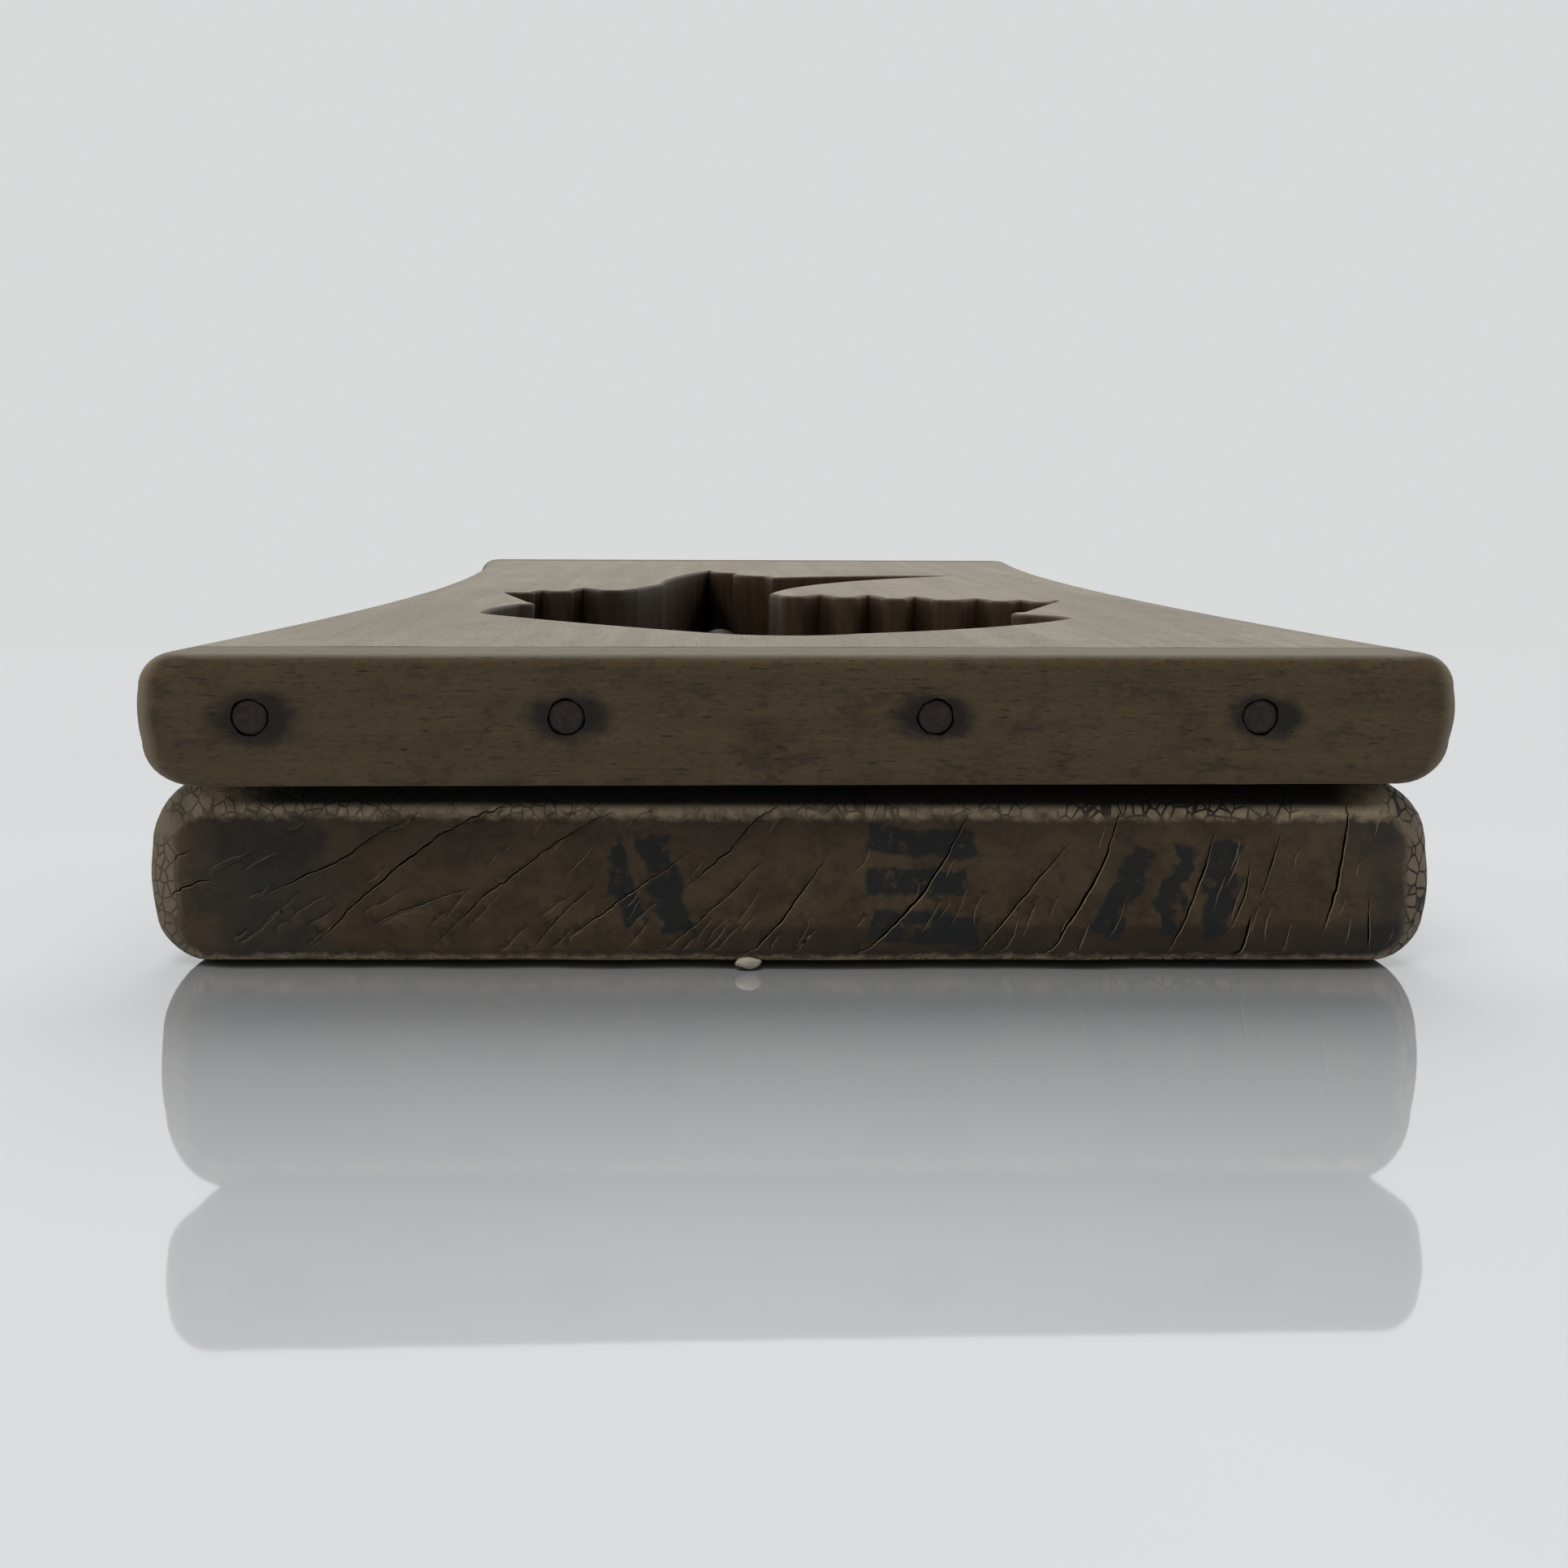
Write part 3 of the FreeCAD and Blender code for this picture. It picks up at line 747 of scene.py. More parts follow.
def turned_tree():
    """A tree that swells paths into rods of their own radii, with sides to choose and a rough skin."""
    tree = bpy.data.node_groups.new("turned_pieces", "GeometryNodeTree")
    rows = (("Sides", "Int", 48), ("Roughness", "Float", 0.06 * MM), ("Grit", "Float", 1.4 / MM))
    given = group_inputs(tree, (*rows, ("Material", "Material", None)))
    curve = add(tree, "GeometryNodeMeshToCurve", {"Mesh": given["Geometry"]})
    girth = add(tree, "GeometryNodeInputNamedAttribute", {"Name": "girth"}, data_type="FLOAT")
    circle = add(tree, "GeometryNodeCurvePrimitiveCircle", {"Resolution": given["Sides"], "Radius": 1.0})
    feeds = {"Curve": curve, "Profile Curve": circle, "Scale": girth.outputs["Attribute"], "Fill Caps": True}
    rod = add(tree, "GeometryNodeCurveToMesh", feeds)
    grit = Wire(tree, add(tree, "ShaderNodeTexNoise", {"Scale": given["Grit"], "Detail": 3.0}))
    feeds = {0: add(tree, "GeometryNodeInputNormal"), "Scale": (grit - 0.5) * given["Roughness"]}
    push = add(tree, "ShaderNodeVectorMath", feeds, operation="SCALE")
    rough = add(tree, "GeometryNodeSetPosition", {"Geometry": rod, "Offset": push})
    return close_tree(tree, rough, given["Material"])


def turned_pieces(name, rows, profile, values):
    """An object of turned pieces, each row (start, direction), made by the tree and left as a plain mesh."""
    runs = [
        [(Vector(start) + Vector(way) * distance * MM, radius * MM) for distance, radius in profile]
        for start, way in rows
    ]
    obj = path_mesh(name, runs, "girth")
    set_inputs(obj, bpy.data.node_groups.get("turned_pieces") or turned_tree(), values)
    bake_modifiers(obj)
    smooth(obj, 40)
    return obj


# Materials

COAT_IOR = 1.7


def shade(colour, amount):
    """A colour made lighter or darker by a factor."""
    return tuple(min(c * amount, 1.0) for c in colour[:3])


class Paint:
    """A material as it is painted: patterns, masks and colours, as wires in its node tree."""

    def __init__(self, name):
        self.material = bpy.data.materials.get(name) or bpy.data.materials.new(name)
        self.material.use_nodes = True
        self.tree = self.material.node_tree
        self.tree.nodes.clear()
        self.place = add(self.tree, "ShaderNodeTexCoord").outputs["Object"]
        self.colour = None
        self.relief = None

    def wire(self, kind, output, feeds, **options):
        """Adds a node and gives one of its outputs as a wire."""
        return Wire(self.tree, add(self.tree, kind, feeds, **options).outputs[output])

    def scaled(self, lengths, shift=(0.0, 0.0, 0.0)):
        """Object coordinates divided by lengths in millimetres along each axis."""
        scale = [1 / (length * MM) for length in lengths]
        feeds = {"Vector": self.place, "Scale": scale, "Location": shift}
        return self.wire("ShaderNodeMapping", 0, feeds)

    def noise(self, lengths, detail=3.0, rough=0.55, warp=0.0, shift=(0.0, 0.0, 0.0)):
        """Noise whose features are about as long as lengths, in millimetres, along each axis."""
        feeds = {"Vector": self.scaled(lengths, shift), "Scale": 1.0, "Detail": detail}
        feeds.update({"Roughness": rough, "Distortion": warp})
        return self.wire("ShaderNodeTexNoise", "Fac", feeds)

    def cells(self, lengths, feature):
        """A measure of a Voronoi pattern whose cells are about as large as lengths, in millimetres."""
        feeds = {"Vector": self.scaled(lengths), "Scale": 1.0}
        return self.wire("ShaderNodeTexVoronoi", "Distance", feeds, feature=feature)

    def between(self, value, low, high, to_low=0.0, to_high=1.0):
        """A value's smooth step from one level to another."""
        feeds = {"Value": value, "From Min": low, "From Max": high, "To Min": to_low, "To Max": to_high}
        return self.wire("ShaderNodeMapRange", "Result", feeds, interpolation_type="SMOOTHSTEP")

    def mix(self, share, under, over, blend="MIX"):
        """A share of one colour over another, each a wire or a plain colour."""
        under, over = (c if isinstance(c, Wire) else (*c[:3], 1.0) for c in (under, over))
        feeds = {0: share, 6: under, 7: over}
        return self.wire("ShaderNodeMix", 2, feeds, data_type="RGBA", blend_type=blend)

    def lay(self, share, over, blend="MIX"):
        """Lays a share of a colour over what has been painted so far."""
        self.colour = self.mix(share, self.colour, over, blend)

    def raise_by(self, value, millimetres):
        """Adds a value to the surface's relief, at a height in millimetres."""
        height = value * (millimetres * MM)
        self.relief = self.relief + height if self.relief else height

    def axis(self, name):
        """One of the object coordinates, in metres."""
        return self.wire("ShaderNodeSeparateXYZ", name, {0: self.place})

    def facing(self, name):
        """How far the surface faces along an axis, either way."""
        normal = add(self.tree, "ShaderNodeNewGeometry").outputs["Normal"]
        return abs(self.wire("ShaderNodeSeparateXYZ", name, {0: normal}))

    def finish(self, roughness, metallic=0.0, ior=1.5, coat=0.0):
        """Closes the material with its surface, and gives it."""
        feeds = {"Base Color": self.colour, "Roughness": roughness, "Metallic": metallic, "IOR": ior}
        feeds.update({"Coat Weight": coat, "Coat IOR": COAT_IOR})
        if self.relief:
            feeds["Normal"] = add(self.tree, "ShaderNodeBump", {"Height": self.relief, "Distance": 1.0})
        surface = add(self.tree, "ShaderNodeBsdfPrincipled", feeds)
        add(self.tree, "ShaderNodeOutputMaterial", {"Surface": surface})
        return self.material


def grain_lengths(axis, across, along):
    """Lengths of a feature along x, y and z for grain that runs along an axis."""
    return tuple(along if name == axis else across for name in "xyz")


def long_grain(paint, axis, base, dark, light):
    """Paints worn magnolia or cherry: fine fibres along an axis, with pores and blotches."""
    fibres = paint.noise(grain_lengths(axis, 0.45, 11), detail=4, rough=0.65)
    bands = paint.noise(grain_lengths(axis, 5, 120), detail=3, rough=0.5, warp=0.6)
    mottle = paint.noise((9, 9, 6), detail=5, rough=0.62, shift=(3, 1, 5))
    pores = paint.noise(grain_lengths(axis, 0.22, 2.4), detail=2, rough=0.5, shift=(7, 2, 1))
    paint.colour = paint.mix(paint.between(bands, 0.35, 0.65), shade(base, 0.86), shade(base, 1.1))
    paint.lay(paint.between(fibres, 0.3, 0.7, 0.0, 0.6), light)
    paint.lay(paint.between(mottle, 0.5, 0.72, 0.0, 0.4), dark)
    pore = paint.between(pores, 0.36, 0.27)
    paint.lay(pore * 0.75, shade(dark, 0.6))
    paint.raise_by(fibres, 0.10)
    paint.raise_by(pore, -0.08)


def board_material():
    """Old magnolia, planed by hand and left bare: silky grey-brown, with fibres that catch the light."""
    _, colours = settings()
    paint = Paint("weathered_magnolia")
    base = colours.board
    long_grain(paint, "y", base, shade(base, 0.62), shade(base, 1.12))
    cloud = paint.noise((38, 60, 30), detail=3, rough=0.5)
    paint.lay(paint.between(cloud, 0.4, 0.65, 0.0, 0.35), shade(base, 0.72))
    # Hands have browned the sides and the underside more than the top.
    side = paint.between(paint.facing("Z"), 0.95, 0.55)
    paint.lay(side * 0.7, colours.cleat, "MULTIPLY")
    paint.raise_by(paint.noise((16, 40, 16), detail=1), 0.25)
    return paint.finish(0.66)


def nail_stain(paint, nodes):
    """How much iron has stained the wood at a place: round each nail and drawn out along the grain."""
    x = paint.axis("X")
    z = paint.axis("Z")
    ragged = paint.noise((3.2, 3.2, 2.2), detail=4, rough=0.65)
    stains = []
    for k, node in enumerate(nodes):
        centre = middle(node)
        across = (x - (centre[0] + (0.6 - 0.4 * (k % 3)) * MM)) * 0.62
        up = z - centre[2]
        reach = (across * across + up * up) ** 0.5 + (ragged - 0.5) * (3.2 * MM)
        stains.append(paint.between(reach, (4.6 - 0.3 * k) * MM, 2.1 * MM))
    return functools.reduce(Wire.most, stains)


def cleat_material(name, nodes):
    """The cleats' wood: long grain from side to side, dark with handling, blue-black round the iron."""
    _, colours = settings()
    paint = Paint(name)
    base = colours.cleat
    dark = colours.cleat_dark
    long_grain(paint, "x", base, dark, shade(base, 1.28))
    blotch = paint.noise((7, 20, 3.4), detail=6, rough=0.68, shift=(11, 0, 4))
    paint.lay(paint.between(blotch, 0.52, 0.68, 0.0, 0.55), dark)
    scuff = paint.noise((5, 20, 2.6), detail=6, rough=0.7, shift=(1, 6, 9))
    paint.lay(paint.between(scuff, 0.58, 0.72, 0.0, 0.4), shade(base, 1.5))
    flecks = paint.noise((1.3, 9, 0.55), detail=6, rough=0.72, shift=(9, 3, 3))
    paint.lay(paint.between(flecks, 0.52, 0.66, 0.0, 0.55), shade(dark, 1.1))
    paint.lay(paint.between(flecks, 0.46, 0.34, 0.0, 0.45), shade(base, 1.45))
    # The top of each cleat is bleached like the board; its ends and corners are rubbed pale.
    top = paint.between(paint.facing("Z"), 0.55, 0.95)
    paint.lay(top * 0.8, shade(colours.board, 0.72))
    rubbed = paint.between(paint.facing("X"), 0.25, 0.8)
    paint.lay(rubbed * 0.5, shade(colours.arris, 0.8))
    stain = nail_stain(paint, nodes)
    paint.lay(stain * 0.9, colours.tannin)
    paint.raise_by(scuff, 0.12)
    return paint.finish(0.7)


def wall_material():
    """The cut-out's walls: gouge-cut and oiled dark by the paste, smoother than the faces, with painted shade
    deeper down, in the corner where the stem ends and on the left.
    """
    _, colours = settings()
    paint = Paint("oiled_gouge_cuts_with_painted_shade")
    base = colours.wall
    strokes = paint.noise((1.6, 1.6, 16), detail=3, rough=0.6)
    depth = paint.between(paint.axis("Z"), FRAME_TOP - 0.5 * MM, FRAME_FOOT)
    paint.colour = paint.mix(paint.between(strokes, 0.3, 0.7), shade(base, 0.78), shade(base, 1.2))
    # Painted shade: the walls darken towards the board's foot, deeper in the cut-out.
    paint.lay(depth * 0.55, shade(base, 0.4))
    # Painted shade: a near-black patch in the deep corner where the figure's stem ends, widest at the board's
    # foot.
    loop = plane_loop("frame_board", FRAME_TOP, FIGURE_REACH)
    peak = loop[loop[:, 1].argmax()]
    aside = abs(paint.axis("X") - peak[0])
    reach = aside - depth * (6.5 * MM)
    stem_crease_shade = paint.between(reach, 1.5 * MM, -1.5 * MM)
    far = paint.between(paint.axis("Y"), peak[1] - 30 * MM, peak[1] - 12 * MM)
    paint.lay(stem_crease_shade * far * 0.9, shade(base, 0.1))
    # The walls on the left face away from the light: painted shade darkens them.
    left = paint.between(paint.axis("X"), -12 * MM, -30 * MM, 0.0, 0.45)
    paint.lay(left, shade(base, 0.2))
    paint.raise_by(strokes, 0.16)
    return paint.finish(0.55)


def stroke(paint, x, z, ends, half_width):
    """A brushed stroke between two points of the block's end, in millimetres, as a share of ink."""
    (x0, z0), (x1, z1) = ends
    dx, dz = (x1 - x0) * MM, (z1 - z0) * MM
    length = math.hypot(dx, dz)
    px = x - x0 * MM
    pz = z - z0 * MM
    along = px * (dx / length) + pz * (dz / length)
    aside = px * (-dz / length) + pz * (dx / length)
    half = along - length / 2
    over = abs(half) - length / 2
    reach = over.most(abs(aside) - half_width * MM)
    return paint.between(reach, 0.5 * MM, -0.3 * MM)


# Plain worn tally strokes of ink, each ((x, z), (x, z)) and its half width, in millimetres.
INK_BARS = (
    (((-26.0, 17.5), (-22.5, 6.5)), 1.5),
    (((-20.0, 18.0), (-16.5, 5.0)), 2.1),
    (((8.5, 18.2), (22.5, 17.4)), 1.7),
    (((8.0, 12.4), (22.0, 11.8)), 1.9),
    (((9.5, 6.2), (23.5, 5.4)), 2.1),
    (((40.0, 5.0), (45.0, 17.0)), 1.7),
    (((48.0, 5.5), (51.0, 17.0)), 1.5),
    (((55.0, 4.8), (56.0, 18.0)), 1.9),
)


# The flat of the block's front end, inside its worn rounds
FLAT_MIDDLE = -1.3 * MM
FLAT_HALF_WIDTH = 78.2 * MM
FLAT_FOOT = 5.8 * MM
FLAT_TOP = 17.1 * MM
# The smudges near both ends of it, each (middle, reach) in millimetres
SMUDGES = ((-72, 17), (78, 12))


def block_material():
    """End grain of the block: smoked and grimy on its flat, rubbed pale on its rounds, crackled with age,
    with painted shade under the frame's overhang, along its lowest edge and on its side rounds.
    """
    _, colours = settings()
    paint = Paint("smoked_end_grain_with_painted_shade")
    base = colours.block
    x = paint.axis("X")
    z = paint.axis("Z")
    pith = paint.noise((0.9, 6, 0.9), detail=4, rough=0.7)
    patch = paint.noise((8, 12, 6), detail=5, rough=0.65, warp=0.4)
    specks = paint.noise((0.5, 2, 0.5), detail=2, rough=0.6, shift=(4, 4, 4))
    paint.colour = paint.mix(paint.between(patch, 0.36, 0.64), shade(base, 0.62), shade(base, 1.2))
    paint.lay(paint.between(pith, 0.3, 0.72, 0.0, 0.5), shade(base, 1.25))
    paint.lay(paint.between(specks, 0.66, 0.74, 0.0, 0.6), colours.block_grime_and_shade)
    bloom = paint.noise((2.4, 9, 1.9), detail=7, rough=0.74, shift=(1, 7, 7))
    paint.lay(paint.between(bloom, 0.5, 0.66, 0.0, 0.5), shade(base, 1.4))
    paint.lay(paint.between(bloom, 0.46, 0.32, 0.0, 0.6), colours.block_grime_and_shade)
    # Grime along the foot, mostly to the right of the middle, and smudges near both ends.
    foot = paint.between(z + patch * (2.2 * MM), 8.2 * MM, 6.6 * MM)
    right = paint.between(x, -30 * MM, -5 * MM, 0.15, 0.75)
    paint.lay(foot * right, colours.block_grime_and_shade)
    for centre, reach in SMUDGES:
        far = abs(x - centre * MM) + patch * (14 * MM)
        smudge = paint.between(far, (reach + 2) * MM, (reach - 6) * MM, 0.0, 0.55)
        paint.lay(smudge, shade(colours.ink, 1.5))
    # Worn ink, broken by the wood's own texture.
    wobble = paint.noise((3.5, 9, 3.5), detail=2, shift=(6, 2, 2)) - 0.5
    shaken_x = x + wobble * (5.5 * MM)
    shaken_z = z + wobble * (-3.5 * MM)
    strokes = [stroke(paint, shaken_x, shaken_z, ends, half_width) for ends, half_width in INK_BARS]
    ink = functools.reduce(Wire.most, strokes)
    ragged = paint.between(paint.noise((2.6, 8, 2.6), detail=7, rough=0.75, shift=(2, 9, 3)), 0.66, 0.53)
    front = paint.between(paint.axis("Y"), BLOCK_LOW[1] + 12 * MM, BLOCK_LOW[1] + 9 * MM)
    paint.lay(ink * ragged * front * 0.9, colours.ink)
    # The rounds: pale rubbed wood with a crackle about a millimetre and a half across.
    torn = paint.noise((2.2, 2.2, 2.2), detail=5, rough=0.7, shift=(8, 8, 1))
    past_side = (abs(x - FLAT_MIDDLE) - FLAT_HALF_WIDTH).most(0.0)
    past_level = (z - FLAT_TOP).most(FLAT_FOOT - z).most(0.0)
    past = (past_side**2.0 + past_level**2.0) ** 0.5 + torn * (2.2 * MM)
    round_off = paint.between(past, 4.3 * MM, 5.9 * MM) * paint.between(torn, 0.25, 0.45, 0.55, 1.0)
    rubbed = paint.mix(paint.between(torn, 0.35, 0.65), shade(colours.arris, 0.75), shade(colours.arris, 1.2))
    # Painted shade: the rounds at the block's sides get a darker tone than the top round.
    side_round_shade = paint.between(past_side, 1.0 * MM, 4.0 * MM)
    rubbed = paint.mix(side_round_shade, rubbed, shade(colours.arris, 0.48))
    paint.lay(round_off, rubbed)
    cells = paint.cells((1.5, 3.2, 1.9), "DISTANCE_TO_EDGE")
    hairs = paint.between(cells, 0.095, 0.03)
    zone = paint.between(paint.noise((12, 30, 9), detail=3, shift=(5, 5, 2)), 0.38, 0.52)
    near_right = paint.between(x, 0.0, 55 * MM, 0.55, 1.0)
    hairs = hairs * round_off * (zone * near_right)
    paint.lay(hairs * 0.95, shade(colours.block_grime_and_shade, 0.3))
    # Painted shade along the lowest edge, where the block's foot lifts off the table.
    lowest = paint.between(z + torn * (0.8 * MM), 1.3 * MM, 0.5 * MM)
    paint.lay(lowest * 0.9, shade(colours.block_grime_and_shade, 0.3))
    # Fibres along the block's length, on its long sides, top and underside.
    fibres = paint.noise((0.6, 14, 0.6), detail=4, rough=0.65)
    sides = paint.between(abs(paint.axis("Y")), 163 * MM, 158 * MM)
    streaked = paint.mix(paint.between(fibres, 0.3, 0.7), shade(base, 0.8), shade(base, 1.5))
    paint.lay(sides * 0.75, streaked)
    # Painted shadow: a near-black band high on the block's ends, where the frame overhangs them and its shade
    # falls.
    under = paint.between(z + torn * (0.8 * MM), 22.4 * MM, 23.4 * MM)
    depth = abs(paint.axis("Y")) + patch * (9 * MM)
    overhang_shadow_ends = paint.between(depth, 156 * MM, 168 * MM)
    inside = paint.between(abs(x), 80 * MM, 70 * MM)
    paint.lay(under * overhang_shadow_ends * inside * 0.98, shade(colours.block_grime_and_shade, 0.05))
    paint.raise_by(hairs, -0.22)
    paint.raise_by(pith, 0.09)
    paint.raise_by(torn, 0.3)
    paint.raise_by(fibres, 0.06)
    return paint.finish(0.74)


def recess_material():
    """The carved recess: gouge-cut end and long grain, darkened to a blue-brown partly by oil from the paste
    and partly as painted shade under the frame.
    """
    _, colours = settings()
    paint = Paint("oiled_recess_with_painted_shade")
    # Half the walls' tone: partly oil from the paste, partly painted shade under the frame.
    base = shade(colours.wall, 0.5)
    cells = paint.cells((3.2, 6.5, 3.2), "SMOOTH_F1")
    fibres = paint.noise((0.6, 12, 0.6), detail=4, rough=0.65)
    cloud = paint.noise((14, 20, 9), detail=4)
    paint.colour = paint.mix(paint.between(cloud, 0.35, 0.65), shade(base, 0.6), base)
    paint.lay(paint.between(fibres, 0.35, 0.65, 0.0, 0.5), shade(base, 1.35))
    paint.raise_by(cells, 0.35)
    paint.raise_by(fibres, 0.06)
    return paint.finish(0.5)


def plain_wood(name, colour, roughness):
    """One tone of bare wood with a little grain, for the lips and cores of checks: the pale lips partly as a
    painted highlight, the near-black cores as painted shade.
    """
    paint = Paint(name)
    grit = paint.noise((0.5, 0.5, 0.5), detail=3)
    paint.colour = paint.mix(paint.between(grit, 0.3, 0.7), shade(colour, 0.8), shade(colour, 1.15))
    return paint.finish(roughness)


def iron_material():
    """Wrought iron under old rust: brown-black scale, matt, with gritty orange-brown freckles."""
    _, colours = settings()
    paint = Paint("rusted_wrought_iron")
    scale = paint.noise((0.8, 0.8, 0.8), detail=5, rough=0.7)
    freckles = paint.noise((0.3, 0.3, 0.3), detail=3, rough=0.7, shift=(3, 2, 8))
    base = colours.iron
    paint.colour = paint.mix(paint.between(scale, 0.35, 0.65), shade(base, 0.6), shade(base, 1.15))
    paint.lay(paint.between(freckles, 0.62, 0.75, 0.0, 0.6), linear("#6b4a3a"))
    paint.raise_by(scale, 0.12)
    paint.raise_by(freckles, 0.08)
    return paint.finish(0.68, metallic=0.25)


def bamboo_material():
    """Whittled bamboo: straw-yellow, with the straight dark bundles of its fibres along the peg."""
    _, colours = settings()
    paint = Paint("whittled_bamboo")
    fibres = paint.noise((0.3, 0.3, 9), detail=2, rough=0.5)
    paint.colour = paint.mix(paint.between(fibres, 0.35, 0.6), shade(colours.bamboo, 0.55), colours.bamboo)
    end = paint.between(paint.facing("Z"), 0.8, 0.95)
    paint.lay(end * 0.4, shade(colours.bamboo, 0.4))
    paint.raise_by(fibres, 0.05)
    return paint.finish(0.5)


def paste_material():
    """A crumb of dried sugar paste: chalky white and a little translucent at its edge."""
    _, colours = settings()
    paint = Paint("dried_paste")
    grit = paint.noise((0.4, 0.4, 0.4), detail=3)
    paint.raise_by(grit, 0.08)
    paint.colour = paint.mix(grit, shade(colours.paste, 0.8), colours.paste)
    return paint.finish(0.6)


def table_material():
    """High-pressure laminate with a gloss face: pale, flat and mirror-like at low angles."""
    _, colours = settings()
    paint = Paint("gloss_laminate")
    haze = paint.noise((120, 160, 100), detail=3)
    paint.colour = paint.mix(haze, shade(colours.table, 0.93), shade(colours.table, 1.04))
    return paint.finish(0.045, ior=1.85, coat=1.0)


# Operators: one for each piece or group of like pieces

# Where two boards meet, their edges are as the saw and plane left them.
JOINT_END = {"plan": 0.35 * MM, "reach": 0.3 * MM, "top": 0.3 * MM, "foot": 0.3 * MM}
FRAME_HALF_WIDTH = FRONT_HIGH[0] + 0.2 * MM
SIDE_BOW = 0.4 * MM
# The box that carries the model's own carving into the worn block: how far from the middle the recess is
# looked for, the box's margin round it, its foot above the block's underside, and its rise over the block
RECESS_REACH = 70 * MM
CARVE_MARGIN = 2 * MM
CARVE_FOOT = 6 * MM
CARVE_ABOVE = 8 * MM
PEG_CLEARANCE = 0.3 * MM
POCKET_CLEARANCE = 0.16 * MM
POCKET_DEPTH = 1.1 * MM


class PieceOperator(bpy.types.Operator):
    """Shared settings of the operators that make a piece."""

    bl_options = {"REGISTER", "UNDO"}


class MOULD_OT_frame_board(PieceOperator):
    """Make the pierced frame board, with its worn cut-out and the peg holes in its underside"""

    bl_idname = "mould.frame_board"
    bl_label = "Frame Board"

    def execute(self, context):
        sizes, _ = settings()
        gap = sizes.seam / 2
        board = Board(
            ((FRAME_LOW[1] + gap, FRAME_HIGH[1] - gap), (FRAME_FOOT, FRAME_TOP)),
            FRAME_HALF_WIDTH,
            (sizes.frame_corner, sizes.frame_foot_corner),
            JOINT_END,
            JOINT_END,
            bulge=SIDE_BOW,
        ).build("frame_board_wood")
        wear(board, 0.22 * MM, 22 * MM, 1)
        wall = wall_material()
        give(board, board_material(), wall)
        tool = cutout_tool()
        give(tool, wall)
        combine(board, tool, "DIFFERENCE")
        holes = []
        for peg in PEGS:
            low, high = node_box(peg)
            x, y, _ = middle(peg)
            holes.append(((x, y, FRAME_FOOT - MM), (x, y, high[2] + MM)))
        bores = rod_tool(holes, PEG_RADIUS + PEG_CLEARANCE)
        give(bores, wall)
        combine(board, bores, "DIFFERENCE")
        smooth(board)
        carried(board, "frame", "frame_wood", "frame_board")
        return {"FINISHED"}


class MOULD_OT_cleats(PieceOperator):
    """Make the two end cleats, each with its rounded outer end and the pockets of its nails"""

    bl_idname = "mould.cleats"
    bl_label = "End Cleats"

    def execute(self, context):
        sizes, colours = settings()
        outer = {
            "plan": sizes.frame_plan,
            "reach": sizes.frame_arris,
            "top": sizes.frame_arris,
            "foot": sizes.frame_foot_arris,
        }
        ends = {
            "front": ((FRONT_LOW[1], FRONT_HIGH[1] - sizes.seam / 2), outer, JOINT_END),
            "rear": ((REAR_LOW[1] + sizes.seam / 2, REAR_HIGH[1]), JOINT_END, outer),
        }
        for number, (end, (reach, front, rear)) in enumerate(ends.items()):
            nails = [n for n in FRAME_NAILS if n.startswith(end)]
            cleat = Board(
                (reach, (FRAME_FOOT, FRAME_TOP)),
                FRAME_HALF_WIDTH,
                (sizes.frame_corner, sizes.frame_foot_corner),
                front,
                rear,
                bulge=SIDE_BOW,
            )
            cleat.step = 1.6 * MM
            cleat = cleat.build(f"{end}_cleat_wood")
            wear(cleat, 0.2 * MM, 9 * MM, 3 + number)
            dark = plain_wood("nail_pocket", shade(colours.tannin, 0.6), 0.9)
            give(cleat, cleat_material(f"handled_magnolia_{end}", nails), dark)
            outward_y = -1 if end == "front" else 1
            face = reach[0] if end == "front" else reach[1]
            pockets = []
            for nail in nails:
                x, _, z = middle(nail)
                pockets.append(((x, face + outward_y * MM, z), (x, face - outward_y * POCKET_DEPTH, z)))
            tool = rod_tool(pockets, NAIL_RADIUS + POCKET_CLEARANCE)
            give(tool, dark)
            combine(cleat, tool, "DIFFERENCE")
            smooth(cleat)
            carried(cleat, "frame", "cleat", f"{end}_cleat")
        return {"FINISHED"}


